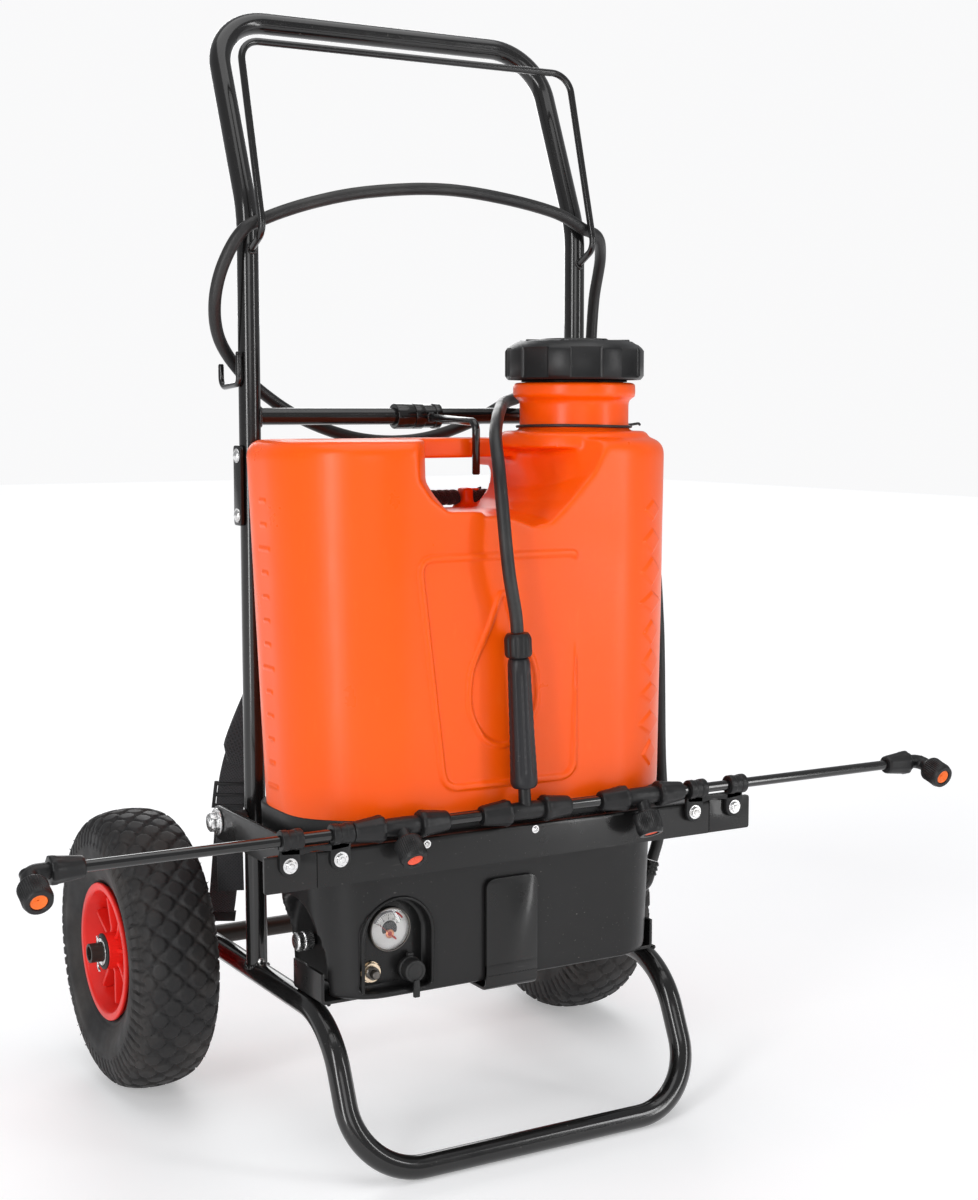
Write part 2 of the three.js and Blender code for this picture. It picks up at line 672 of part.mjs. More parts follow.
function outletElbow() {
  const hoseStart = routePoints[0];
  const up = routePoints[1].clone().sub(hoseStart).normalize();
  const corner = hoseStart.clone().addScaledVector(up, -(hoseStart.z - OUTLET.z) / up.z);
  corner.y = OUTLET.y;
  const inlet = rodBetween(v3(142, OUTLET.y, OUTLET.z), v3(corner.x, OUTLET.y, OUTLET.z), 8, 10);
  const flange = rodBetween(v3(163.5, OUTLET.y, OUTLET.z), v3(167, OUTLET.y, OUTLET.z), 11.5, 12);
  const barb = rodBetween(corner, hoseStart.clone().addScaledVector(up, -GAP), 7, 10);
  const knuckle = new THREE.SphereGeometry(8, 10, 6).translate(corner.x, corner.y, corner.z);
  return join(inlet, flange, barb, knuckle);
}

place('tank', tank(), ORANGE_PLASTIC);
place('tank_cap', tankCap(), BLACK_PLASTIC);
place('strainer_basket', strainerBasket(), BLACK_PLASTIC);
place('cap_tether', capTether(), BLACK_PLASTIC);
place('base_housing', baseHousing(), BLACK_PLASTIC);
place('base_cover', baseCover(), BLACK_PLASTIC);
place('battery', battery(), BATTERY_GREY);
place('pump', pump(), BLACK_PLASTIC);
place('regulator_knob', regulatorKnob(), ZINC);
place('outlet_elbow', outletElbow(), BLACK_PLASTIC);

// ---------------------------------------------------------------- instruments on the base's panel
// These are turned about an axis that points forward: profile heights count from the panel outward.
const forward = (geometry) => geometry.rotateX(Math.PI / 2);

function panelGroup(spot) {
  const group = new THREE.Group();
  group.position.set(spot.x, PANEL_Y, spot.z);
  cart.add(group);
  return group;
}

const NEEDLE_PIVOT_Z = -4;

function gaugeCase() {
  return forward(turned([[0, -15], [16, -15], [16, GAP], [GAUGE.r, GAP], [GAUGE.r, 5], [GAUGE.r - 1.5, 5],
    [GAUGE.r - 1.5, 2], [0, 2]], 22));
}

function gaugeNeedle() {
  const blade = block(-0.5, -3.4, -8, 0.5, -2.8, 15).rotateY(THREE.MathUtils.degToRad(-48));
  const hub = forward(rod(2, 2.4, 3.6, 12));
  return join(blade, hub);
}

function gaugeLens() {
  const inner = GAUGE.r - 1.5 - GAP;
  return forward(turned([[0, 6.2], [inner - 3, 5], [inner, 3.6], [inner, 4.6], [inner - 2, 6.6], [8, 8.2], [0, 8.6]], 22));
}

function switchBody() {
  const barrel = join(rod(5.4, -14, 8, 14), rod(8.7, GAP, 4, 6));
  return forward(cut(barrel, rod(4.1, 3, 20, 14)));
}

function switchButton() {
  return forward(rod(3.8, 5.2, 13, 14));
}

function chargeSocket() {
  return forward(join(rod(6.3, -14, 3, 14), rod(9.6, GAP, 2.6, 18)));
}

// Rubber cap over the charging socket, with its hinge strap above and its pull tab below.
const CAP_HINGE_Z = 12;

function socketCap() {
  const cap = forward(turned([[0, 3.4], [10.6, 3.4], [10.6, 6], [9.6, 6], [9.6, 16], [0, 16]], 18));
  const tab = block(-2.5, -18, -22, 2.5, -15.2, -6);
  const strap = block(-2.5, -6, 8, 2.5, -3.4, CAP_HINGE_Z + 1.5);
  return join(cap, tab, strap);
}

const gaugeGroup = panelGroup(GAUGE);
place('gauge_case', gaugeCase(), DIAL_WHITE, gaugeGroup);
place('gauge_needle', gaugeNeedle(), RED_PLASTIC, gaugeGroup).position.z = NEEDLE_PIVOT_Z;
place('gauge_lens', gaugeLens(), CLEAR, gaugeGroup);
const switchGroup = panelGroup(SWITCH);
place('switch_body', switchBody(), ZINC, switchGroup);
place('switch_button', switchButton(), ZINC, switchGroup);
const socketGroup = panelGroup(SOCKET);
place('charge_socket', chargeSocket(), BLACK_PLASTIC, socketGroup);
place('socket_cap', socketCap(), RUBBER, socketGroup);

// ---------------------------------------------------------------- shoulder straps
// Each runs from its post at the tank's back down behind the upright to the axle.
function shoulderStrap(side) {
  const spots = [
    [52, -12, 557], [56, 4, 549], [69, 16, 526], [99, 24, 460], [136, 30, 390], [160, 36, 335],
    [167, 47, 298], [165, 72, 230], [160, 100, 172], [159, 110, 154],
  ];
  const points = spots.map(([x, y, z]) => v3(side * x + SPRAYER_X * (z - 154) / (557 - 154), y, z));
  const band = new THREE.Shape([[-1.5, -STRAP_W / 2], [1.5, -STRAP_W / 2], [1.5, STRAP_W / 2], [-1.5, STRAP_W / 2]]
    .map(([x, y]) => new THREE.Vector2(x, y)));
  return sweep(band, points, v3(0.866, side * 0.5, 0));
}

place('strap_left', shoulderStrap(-1), WEBBING);
place('strap_right', shoulderStrap(1), WEBBING);

// ---------------------------------------------------------------- boom frame
function sideArm(side) {
  const shape = new THREE.Shape();
  shape.moveTo(ARM_BOTTOM_Z, PLATE_Y + ARM_T);
  shape.lineTo(ARM_BOTTOM_Z, 0);
  shape.absarc((ARM_BOTTOM_Z + ARM_TOP_Z) / 2, 0, (ARM_TOP_Z - ARM_BOTTOM_Z) / 2, Math.PI, 0, true);
  shape.lineTo(ARM_TOP_Z, PLATE_Y + ARM_T);
  const x = SPRAYER_X + side * ARM_X;
  const bar = new THREE.ExtrudeGeometry(shape, { depth: ARM_T, bevelEnabled: false, curveSegments: 5 })
    .rotateY(-Math.PI / 2).translate(x + ARM_T / 2, 0, 0);
  const outer = x + side * (ARM_T / 2 + EAR_W);
  const inner = x - side * ARM_T / 2;
  const ear = block(Math.min(inner, outer), PLATE_Y, ARM_BOTTOM_Z, Math.max(inner, outer), PLATE_Y + ARM_T, ARM_TOP_Z);
  const hole = alongX(rod(5 + GAP, -10, 10, 12)).translate(x, 0, ARM_BOLT_Z);
  return cut(join(bar, ear), hole);
}

function frontPlate() {
  const half = ARM_X - ARM_T / 2 - GAP;
  const face = block(SPRAYER_X - half, PLATE_Y, ARM_BOTTOM_Z, SPRAYER_X + half, PLATE_Y + 3, ARM_TOP_Z);
  const shelf = block(SPRAYER_X - half, PLATE_Y, ARM_TOP_Z - 3, SPRAYER_X + half, TANK_FRONT_Y + 1, ARM_TOP_Z);
  return cut(join(face, shelf), baseBody(-GAP), tankBody(-GAP));
}

// Bolt through arm and upright, with its spacer, washer and nut.
function armBolt(side) {
  const armX = Math.abs(SPRAYER_X + side * ARM_X);
  const outside = armX + ARM_T / 2 + GAP;
  const pieces = [
    rod(5, FRAME_X - 18, outside + 3, 12),
    rod(8, FRAME_X + UPRIGHT_R + GAP, armX - ARM_T / 2 - GAP, 14),
    rod(12, outside, outside + 2, 20),
    rod(8, outside + 1, outside + 8, 6),
    rod(8, FRAME_X - UPRIGHT_R - 7, FRAME_X - UPRIGHT_R - GAP, 6),
  ];
  return alongX(join(...pieces)).scale(side, 1, 1).translate(0, 0, ARM_BOLT_Z);
}

for (const [word, side] of [['left', -1], ['right', 1]]) {
  place(`arm_${word}`, sideArm(side), BLACK_PAINT);
  place(`arm_bolt_${word}`, armBolt(side), ZINC);
}
place('front_plate', frontPlate(), BLACK_PAINT);

// ---------------------------------------------------------------- spray boom
const TUBE_BORE = BOOM_TUBE_R + GAP;

function taperedNut(from, to) {
  const steps = [[TUBE_BORE, from], [11, from], [11, from + Math.sign(to - from) * 4], [8, to], [TUBE_BORE, to],
    [TUBE_BORE, from]];
  return alongX(turned(steps, 12));
}

// The threaded spigot that a nozzle cap screws onto. It points along -Y.
function spigot() {
  return forward(join(rod(5.5, 0, 20, 10), rod(8, 14, NOZZLE_REACH - 6, 10)));
}

function nozzleCap() {
  const cap = turned([[8.3, 15], [11.5, 16], [11.5, 31], [10, NOZZLE_REACH], [6.6, NOZZLE_REACH],
    [6.6, 30], [8.3, 30], [8.3, 15]], 14);
  return forward(cap);
}

function nozzleTee() {
  const body = alongX(rod(7, -NUT_START - 1, NUT_START + 1, 12));
  const bores = [alongX(rod(TUBE_BORE, -60, -8, 12)), alongX(rod(TUBE_BORE, 8, 60, 12))];
  return cut(join(body, taperedNut(-NUT_START, -NUT_END), taperedNut(NUT_START, NUT_END), spigot()), ...bores);
}

// The elbow at a boom end: its nut is toward the middle of the boom.
function endElbow(side) {
  const body = alongX(rod(6.5, Math.min(0, -side * 18), Math.max(0, -side * 18), 12));
  const knuckle = new THREE.SphereGeometry(6.5, 10, 6);
  const bore = alongX(rod(TUBE_BORE, Math.min(-side * 8, -side * 60), Math.max(-side * 8, -side * 60), 12));
  return cut(join(body, knuckle, taperedNut(-side * NUT_START, -side * NUT_END), spigot()), bore);
}

function boomTube(from, to) {
  return alongX(ring(BOOM_TUBE_R - 1, BOOM_TUBE_R, from + 9, to - 9, 12)).translate(0, BOOM_Y, BOOM_Z);
}

const fittings = [
  { word: 'end_left', x: -ELBOW_X, dip: 25, shape: endElbow(-1) },
  { word: 'inner_left', x: CENTRE_TEE_X - TEE_OFFSET, dip: 42, shape: nozzleTee() },
  { word: 'inner_right', x: CENTRE_TEE_X + TEE_OFFSET, dip: 62, shape: nozzleTee() },
  { word: 'end_right', x: ELBOW_X, dip: 18, shape: endElbow(1) },
];
for (const { word, x, dip, shape } of fittings) {
  const head = new THREE.Group();
  head.position.set(x, BOOM_Y, BOOM_Z);
  head.rotation.x = THREE.MathUtils.degToRad(dip);
  cart.add(head);
  place(`nozzle_body_${word}`, shape, BLACK_PLASTIC, head);
  place(`nozzle_cap_${word}`, nozzleCap(), BLACK_PLASTIC, head);
}

const fittingX = [-ELBOW_X, CENTRE_TEE_X - TEE_OFFSET, CENTRE_TEE_X, CENTRE_TEE_X + TEE_OFFSET, ELBOW_X];
['outer_left', 'middle_left', 'middle_right', 'outer_right'].forEach((word, i) => {
  place(`boom_tube_${word}`, boomTube(fittingX[i], fittingX[i + 1]), BLACK_PAINT);
});

// Clip that holds the boom tube above an ear and the front plate.
function boomClip() {
  const collar = (x) => alongX(ring(TUBE_BORE, 8.5, -9, 9, 12)).translate(x, BOOM_Y, BOOM_Z);
  const front = PLATE_Y - GAP;
  const web = block(-30, front - 4, 286, 30, front, 291);
  const lug = (x) => join(
    forward(rod(9, 0, 4, 14)).translate(x, front, 277),
    block(x - 9, front - 4, 277, x + 9, front, 291),
    forward(rod(4.6, 3, 7, 6)).translate(x, front, 277),
  );
  return join(collar(-22), collar(22), web, lug(-22), lug(22));
}

for (const [word, side] of [['left', -1], ['right', 1]]) {
  const clip = place(`boom_clip_${word}`, boomClip(), BLACK_PLASTIC);
  clip.position.x = SPRAYER_X + side * (ARM_X + 1);
}

// ---------------------------------------------------------------- lance grip and hose
const STUB_LONG = 20;
const GRIP_LONG = 110;
const NUT_TOP = 151;

function centreTee() {
  const body = alongX(rod(7, -NUT_START - 1, NUT_START + 1, 12));
  const bores = [alongX(rod(TUBE_BORE, -60, -8, 12)), alongX(rod(TUBE_BORE, 8, 60, 12))];
  const stub = rod(5.2, 0, STUB_LONG - GAP, 14).rotateY(LANCE_LEAN);
  return cut(join(body, taperedNut(-NUT_START, -NUT_END), taperedNut(NUT_START, NUT_END), stub), ...bores);
}

const lance = new THREE.Group();
lance.position.set(CENTRE_TEE_X, BOOM_Y, BOOM_Z);
cart.add(lance);
place('centre_tee', centreTee(), BLACK_PLASTIC, lance);

const lanceAxis = new THREE.Group();
lanceAxis.rotation.y = LANCE_LEAN;
lance.add(lanceAxis);

function lanceGrip() {
  const top = STUB_LONG + GRIP_LONG;
  return turned([[0, STUB_LONG], [10, STUB_LONG], [11.5, STUB_LONG + 3], [11.5, STUB_LONG + 40], [9.5, top - 3],
    [8, top], [6.5, top], [6.5, NUT_TOP - 10], [0, NUT_TOP - 10]], 18);
}

function gripNut() {
  const bottom = STUB_LONG + GRIP_LONG + 1;
  return turned([[6.8, bottom], [10.5, bottom], [11.5, bottom + 2], [11.5, NUT_TOP - 4], [9, NUT_TOP - GAP],
    [0, NUT_TOP - GAP], [0, NUT_TOP - 6], [6.8, NUT_TOP - 6], [6.8, bottom]], 18);
}

place('lance_grip', lanceGrip(), BLACK_PLASTIC, lanceAxis);
place('grip_nut', gripNut(), BLACK_PLASTIC, lanceAxis);

function sprayHose() {
  const curve = new THREE.CatmullRomCurve3(routePoints, false, 'centripetal');
  curve.arcLengthDivisions = 800;
  return sweep(polygon(HOSE_R, 8), curve.getSpacedPoints(HOSE_STEPS));
}

place('spray_hose', sprayHose(), RUBBER);

export default cart;
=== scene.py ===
"""The looks of the wheeled sprayer cart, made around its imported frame.

Lengths in the shape helpers are millimetres in the row's frame; Blender gets metres.
"""

import math
import random

import bmesh
import bpy
from mathutils import Matrix, Quaternion, Vector, noise


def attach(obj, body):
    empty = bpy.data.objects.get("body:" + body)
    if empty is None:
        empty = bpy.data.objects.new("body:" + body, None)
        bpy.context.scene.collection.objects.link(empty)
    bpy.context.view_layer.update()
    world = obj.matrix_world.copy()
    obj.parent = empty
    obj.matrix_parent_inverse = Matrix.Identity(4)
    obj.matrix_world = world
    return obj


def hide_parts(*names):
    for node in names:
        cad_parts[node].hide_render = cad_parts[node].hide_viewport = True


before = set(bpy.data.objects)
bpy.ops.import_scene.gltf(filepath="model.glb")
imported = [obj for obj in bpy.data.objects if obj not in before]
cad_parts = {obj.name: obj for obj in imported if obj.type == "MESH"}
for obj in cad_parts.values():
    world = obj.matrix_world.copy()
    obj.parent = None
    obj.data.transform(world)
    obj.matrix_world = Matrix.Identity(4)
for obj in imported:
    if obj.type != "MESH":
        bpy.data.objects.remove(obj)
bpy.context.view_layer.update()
MM = 0.001

# ---------------------------------------------------------------- camera
CAMERA_LENS, CAMERA_PITCH, CAMERA_YAW = 55.59, 5.88, 30.16   # millimetres, then degrees down and round
camera_data = bpy.data.cameras.new("camera")
camera_data.lens = CAMERA_LENS
camera_data.sensor_width = 36.0
camera = bpy.data.objects.new("camera", camera_data)
camera.location = (-0.80455, -1.51134, 0.63339)
camera.rotation_euler = (math.radians(90 - CAMERA_PITCH), 0, math.radians(-CAMERA_YAW))
bpy.context.scene.collection.objects.link(camera)
bpy.context.scene.camera = camera


# ---------------------------------------------------------------- materials
class Nodes:
    """Short ways to add nodes to one material."""

    def __init__(self, name):
        self.material = bpy.data.materials.new(name)
        self.material.use_nodes = True
        self.tree = self.material.node_tree
        self.shader = self.tree.nodes["Principled BSDF"]
        self.place = self.add("ShaderNodeTexCoord").outputs["Object"]

    def add(self, kind, **values):
        node = self.tree.nodes.new(kind)
        for key, value in values.items():
            setattr(node, key, value)
        return node

    def link(self, source, target):
        self.tree.links.new(source, target)

    def stretched(self, scale, turn=(0, 0, 0)):
        node = self.add("ShaderNodeMapping")
        node.inputs["Scale"].default_value = scale
        node.inputs["Rotation"].default_value = turn
        self.link(self.place, node.inputs["Vector"])
        return node.outputs["Vector"]

    def noise(self, scale, detail=4.0, rough=0.55, where=None, distortion=0.0):
        node = self.add("ShaderNodeTexNoise")
        node.inputs["Scale"].default_value = scale
        node.inputs["Detail"].default_value = detail
        node.inputs["Roughness"].default_value = rough
        node.inputs["Distortion"].default_value = distortion
        self.link(where or self.place, node.inputs["Vector"])
        return node.outputs["Fac"]

    def ramp(self, source, low, high, start=0.0, end=1.0):
        node = self.add("ShaderNodeMapRange")
        node.inputs["From Min"].default_value = low
        node.inputs["From Max"].default_value = high
        node.inputs["To Min"].default_value = start
        node.inputs["To Max"].default_value = end
        self.link(source, node.inputs["Value"])
        return node.outputs["Result"]

    def math(self, operation, a, b):
        node = self.add("ShaderNodeMath", operation=operation)
        for socket, value in zip(node.inputs, (a, b)):
            if isinstance(value, (int, float)):
                socket.default_value = value
            else:
                self.link(value, socket)
        return node.outputs["Value"]

    def mix(self, amount, a, b):
        node = self.add("ShaderNodeMix", data_type="RGBA")
        self.link(amount, node.inputs["Factor"])
        for key, value in (("A", a), ("B", b)):
            sockets = [s for s in node.inputs if s.name == key and s.type == "RGBA"]
            if isinstance(value, tuple):
                sockets[0].default_value = (*value, 1)
            else:
                self.link(value, sockets[0])
        return [s for s in node.outputs if s.type == "RGBA"][0]

    def bump(self, height, strength, distance, before=None):
        node = self.add("ShaderNodeBump")
        node.inputs["Strength"].default_value = strength
        node.inputs["Distance"].default_value = distance
        self.link(height, node.inputs["Height"])
        if before is not None:
            self.link(before, node.inputs["Normal"])
        return node.outputs["Normal"]

    def set(self, **values):
        for key, value in values.items():
            socket = self.shader.inputs[key.replace("_", " ")]
            if isinstance(value, tuple):
                socket.default_value = (*value, 1)[:len(socket.default_value)]
            elif isinstance(value, (int, float)):
                socket.default_value = value
            else:
                self.link(value, socket)


def shade(color, amount):
    return tuple(min(1.0, c * amount) for c in color)


def coated(name, color, rough, coat=0.0, dust=0.0, grain=900, grain_depth=0.00008, scuffs=0.0, speck=0.25):
    """Paint or moulded plastic: soft blotches, fine grain, dust specks and scuffs."""
    n = Nodes(name)
    blotch = n.noise(9, 5, 0.6)
    base = n.mix(n.ramp(blotch, 0.35, 0.7), shade(color, 0.82), shade(color, 1.2))
    roughness = n.ramp(n.noise(35, 6, 0.65), 0.3, 0.75, rough - 0.06, rough + 0.09)
    if dust:
        spots = n.ramp(n.noise(420, 2, 0.5), 0.7, 0.78)
        patches = n.math("MULTIPLY", spots, n.ramp(n.noise(14, 3), 0.42, 0.66, 0, dust))
        base = n.mix(patches, base, (speck, speck * 0.95, speck * 0.88))
        roughness = n.math("ADD", roughness, n.math("MULTIPLY", patches, 0.3))
    if scuffs:
        lines = n.ramp(n.noise(260, 3, 0.5, n.stretched((0.15, 6, 1.0), (0.4, 0.2, 0.7))), 0.66, 0.72)
        where = n.math("MULTIPLY", lines, n.ramp(n.noise(11, 2), 0.5, 0.65, 0, scuffs))
        base = n.mix(where, base, (0.09, 0.086, 0.082))
    normal = n.bump(n.noise(grain, 3, 0.6), 0.35, grain_depth)
    normal = n.bump(n.noise(28, 2, 0.4), 0.2, 0.0004, normal)
    n.set(Base_Color=base, Roughness=roughness, Normal=normal, Specular_IOR_Level=0.32)
    if coat:
        n.set(Coat_Weight=coat, Coat_Roughness=0.08)
    return n.material


STAIN, BRUSHING = (0.35, 0.3, 0.24), (1, 1, 12)


def metal(name, color, rough):
    """Bright metal with brownish stains, brushed one way."""
    n = Nodes(name)
    stain = n.ramp(n.noise(60, 5, 0.6), 0.5, 0.78, 0, 0.55)
    base = n.mix(stain, color, STAIN)
    streaks = n.noise(300, 4, 0.6, n.stretched(BRUSHING))
    n.set(Base_Color=base, Metallic=1.0, Roughness=n.ramp(streaks, 0.3, 0.7, rough - 0.06, rough + 0.14),
          Normal=n.bump(streaks, 0.3, 0.00005))
    return n.material


def blow_moulded(name, color):
    """Shiny translucent-looking orange plastic with slow waves in its skin."""
    n = Nodes(name)
    base = n.mix(n.ramp(n.noise(5, 4, 0.5), 0.3, 0.72), shade(color, 0.93), shade(color, 1.06))
    scuffed = n.ramp(n.noise(170, 4, 0.6, n.stretched((1, 1, 0.2))), 0.62, 0.8, 0, 0.12)
    base = n.mix(scuffed, base, (1.0, 0.2, 0.03))
    rough = n.ramp(n.noise(22, 5, 0.6), 0.3, 0.75, 0.27, 0.37)
    normal = n.bump(n.noise(1500, 2, 0.5), 0.25, 0.00005)
    normal = n.bump(n.noise(14, 2, 0.4), 0.3, 0.0012, normal)
    n.set(Base_Color=base, Roughness=rough, Normal=normal, Subsurface_Weight=0.08, Subsurface_Scale=0.004,
          Subsurface_Radius=(1.0, 0.3, 0.1), Specular_IOR_Level=0.3)
    return n.material


def rubber(name, color, dusty, rough, grain=700):
    """Matt rubber, greyer where dust has settled."""
    n = Nodes(name)
    base = n.mix(n.ramp(n.noise(18, 6, 0.6), 0.45, 0.75), color, dusty)
    base = n.mix(n.ramp(n.noise(260, 3), 0.55, 0.8, 0, 0.5), base, shade(color, 0.55))
    normal = n.bump(n.noise(grain, 4, 0.6), 0.5, 0.00012)
    n.set(Base_Color=base, Roughness=n.ramp(n.noise(40, 4), 0.3, 0.7, rough - 0.1, rough + 0.1),
          Normal=normal, Specular_IOR_Level=0.4)
    return n.material


def woven(name, color, threads=900, lift=0.00035):
    """A weave that follows the piece's own UVs: U across, V along, one unit to a metre."""
    n = Nodes(name)
    uv = n.add("ShaderNodeUVMap").outputs["UV"]
    turned = []
    for angle in (0.0, math.pi / 2):
        spin = n.add("ShaderNodeMapping")
        spin.inputs["Rotation"].default_value = (0, 0, math.pi / 4 + angle)
        n.link(uv, spin.inputs["Vector"])
        wave = n.add("ShaderNodeTexWave", bands_direction="X", wave_profile="SIN")
        wave.inputs["Scale"].default_value = threads / 6.283
        n.link(spin.outputs["Vector"], wave.inputs["Vector"])
        turned.append(wave.outputs["Fac"])
    weave = n.math("MAXIMUM", turned[0], turned[1])
    fuzz = n.noise(2600, 3, 0.7)
    # Painted shade and painted highlight: the weave's grooves are coloured darker and its crowns lighter,
    # following the bump's height.
    base = n.mix(n.ramp(weave, 0.2, 1.0), shade(color, 0.35), shade(color, 1.35))
    base = n.mix(n.ramp(n.noise(30, 4), 0.5, 0.8, 0, 0.5), base, shade(color, 2.2))
    normal = n.bump(weave, 0.8, lift)
    n.set(Base_Color=base, Roughness=0.92, Normal=n.bump(fuzz, 0.5, 0.0003, normal), Sheen_Weight=0.35,
          Sheen_Roughness=0.5)
    return n.material


BLACK = (0.0065, 0.0062, 0.0062)
frame_paint = coated("gloss_black_paint", BLACK, 0.2, coat=0.55, dust=0.5, grain=1400, grain_depth=0.00004)
sheet_paint = coated("scuffed_black_paint", (0.008, 0.0078, 0.0078), 0.3, coat=0.15, dust=0.5, scuffs=0.22,
                     grain=1200)
boom_paint = coated("boom_tube_black", (0.006, 0.006, 0.006), 0.15, coat=0.7, dust=0.25, grain=600)
fitting_plastic = coated("fitting_plastic", (0.011, 0.011, 0.0115), 0.38, dust=0.35, grain=2600,
                         grain_depth=0.0001)
elbow_plastic = coated("elbow_plastic", (0.012, 0.012, 0.012), 0.24, dust=0.2, grain=500)
base_plastic = coated("base_plastic", (0.009, 0.0088, 0.009), 0.36, dust=0.6, grain=1900,
                      grain_depth=0.00014)
grip_plastic = coated("grip_plastic", (0.015, 0.015, 0.017), 0.38, dust=0.3, grain=1500)
cap_plastic = coated("cap_plastic", (0.01, 0.01, 0.0105), 0.36, dust=0.35, grain=1300)
panel_plastic = coated("panel_plastic", (0.008, 0.008, 0.008), 0.3, dust=0.2, grain=900)
case_grey = coated("battery_case", (0.07, 0.075, 0.085), 0.5, dust=0.3)
orange = blow_moulded("orange_plastic", (0.96, 0.098, 0.0006))
tip_orange = coated("orange_tip", (0.95, 0.16, 0.02), 0.4, dust=0.2, grain=2000)
tip_red = coated("red_tip", (0.85, 0.11, 0.055), 0.42, dust=0.2, grain=2000)
red = coated("red_rim_plastic", (0.78, 0.018, 0.012), 0.36, dust=0.45, grain=900, speck=0.35)
tyre_rubber = rubber("tyre_rubber", (0.012, 0.0115, 0.012), (0.034, 0.029, 0.026), 0.62)
hose_rubber = rubber("hose_rubber", (0.012, 0.012, 0.0125), (0.03, 0.029, 0.028), 0.42, 1600)
cap_rubber = rubber("cap_rubber", (0.012, 0.012, 0.012), (0.03, 0.03, 0.03), 0.5, 1800)
zinc = metal("zinc_plate", (0.78, 0.78, 0.78), 0.2)
dark_steel = metal("dark_steel", (0.16, 0.15, 0.14), 0.34)
brass = metal("warm_nickel", (0.83, 0.68, 0.5), 0.2)
needle_red = coated("needle_red", (0.5, 0.02, 0.02), 0.4, grain=3000)
copper = metal("copper_winding", (0.8, 0.36, 0.2), 0.35)
dial_white = coated("dial_white", (0.9, 0.89, 0.86), 0.5, dust=0.1, grain=3000, grain_depth=0.00002)
dial_black = coated("dial_black", (0.03, 0.03, 0.032), 0.5, grain=3000)
dial_grey = coated("dial_grey", (0.2, 0.2, 0.21), 0.5, grain=3000)
webbing = woven("black_webbing", (0.016, 0.016, 0.018))
pad_cloth = woven("pad_cloth", (0.014, 0.014, 0.016), threads=620, lift=0.0005)


def clear_plastic(name):
    """Clear moulding with faint waves and smears."""
    n = Nodes(name)
    rough = n.ramp(n.noise(90, 4), 0.4, 0.8, 0.02, 0.12)
    n.set(Base_Color=(1.0, 1.0, 1.0), Roughness=rough, Transmission_Weight=1.0, IOR=1.46,
          Normal=n.bump(n.noise(60, 2), 0.15, 0.0002))
    return n.material


lens_clear = clear_plastic("clear_lens")


# ---------------------------------------------------------------- shape helpers
class Shape:
    """Vertices and faces in millimetres, with a material number and optional UVs for each face."""

    def __init__(self):
        self.verts = []
        self.faces = []
        self.mats = []
        self.uvs = []

    def put(self, made, matrix=None, mat=0):
        if isinstance(made, Shape):
            made = (made.verts, made.faces, made.uvs)
        verts, faces = made[0], made[1]
        uvs = made[2] if len(made) > 2 else [None] * len(faces)
        base = len(self.verts)
        self.verts += [tuple(matrix @ Vector(v)) if matrix else tuple(v) for v in verts]
        flip = matrix is not None and matrix.determinant() < 0
        for face, uv in zip(faces, uvs):
            order = list(reversed(face)) if flip else list(face)
            self.faces.append([base + i for i in order])
            self.mats.append(mat)
            self.uvs.append(list(reversed(uv)) if flip and uv else uv)
        return self


def show(name, shape, materials, body="cart", stands_for=(), sharp=38):
    """Makes the shown piece and fastens it to its body."""
    mesh = bpy.data.meshes.new(name)
    mesh.from_pydata([(x * MM, y * MM, z * MM) for x, y, z in shape.verts], [], shape.faces)
    for material in materials if isinstance(materials, (list, tuple)) else [materials]:
        mesh.materials.append(material)
    mesh.polygons.foreach_set("material_index", shape.mats)
    if any(shape.uvs):
        layer = mesh.uv_layers.new(name="UVMap")
        for polygon, uv in zip(mesh.polygons, shape.uvs):
            for k, loop in enumerate(polygon.loop_indices):
                layer.data[loop].uv = uv[k] if uv else (0, 0)
    mesh.validate()
    return keep(name, mesh, body, stands_for, sharp)


def keep(name, mesh, body, stands_for, sharp):
    """Fastens a finished mesh to its body and hides the parts it replaces."""
    mesh.shade_smooth()
    mesh.set_sharp_from_angle(angle=math.radians(sharp))
    piece = bpy.data.objects.new(name, mesh)
    bpy.context.scene.collection.objects.link(piece)
    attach(piece, body)
    if stands_for:
        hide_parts(*stands_for)
    return piece


def at(x, y, z=0.0, turn=None):
    matrix = Matrix.Translation((x, y, z))
    return matrix @ turn if turn is not None else matrix


def about(axis, degrees):
    return Matrix.Rotation(math.radians(degrees), 4, axis)


def axes(x, y, z):
    """A rotation that sends the local axes to the given directions."""
    return Matrix((x, y, z)).transposed().to_4x4()


TO_X = axes((0, 1, 0), (0, 0, 1), (1, 0, 0))        # local Z to world X
TO_LEFT = axes((0, -1, 0), (0, 0, 1), (-1, 0, 0))   # local Z to -X
TO_FRONT = axes((1, 0, 0), (0, 0, 1), (0, -1, 0))   # local Z to -Y, local Y up
TO_BACK = axes((-1, 0, 0), (0, 0, 1), (0, 1, 0))    # local Z to +Y, local Y up


def lathe(profile, sides, wave=None):
    """Turns [radius, height] points about Z. wave(radius, height, angle) gives the radius there."""
    verts, rows, faces = [], [], []
    for r, z in profile:
        if r < 1e-6:
            rows.append([len(verts)])
            verts.append((0, 0, z))
            continue
        row = []
        for k in range(sides):
            angle = 2 * math.pi * k / sides
            reach = wave(r, z, angle) if wave else r
            row.append(len(verts))
            verts.append((reach * math.cos(angle), reach * math.sin(angle), z))
        rows.append(row)
    if profile[0] == profile[-1] and profile[0][0] > 1e-6:
        rows[-1] = rows[0]
    for a, b in zip(rows, rows[1:]):
        for k in range(sides):
            face = [a[k % len(a)], a[(k + 1) % len(a)], b[(k + 1) % len(b)], b[k % len(b)]]
            seen = list(dict.fromkeys(face))
            if len(seen) > 2:
                faces.append(seen)
    signed = sum((profile[i][0] + profile[i + 1][0]) * (profile[i + 1][1] - profile[i][1])
                 for i in range(len(profile) - 1))
    if signed < 0:
        faces = [list(reversed(f)) for f in faces]
    return verts, faces


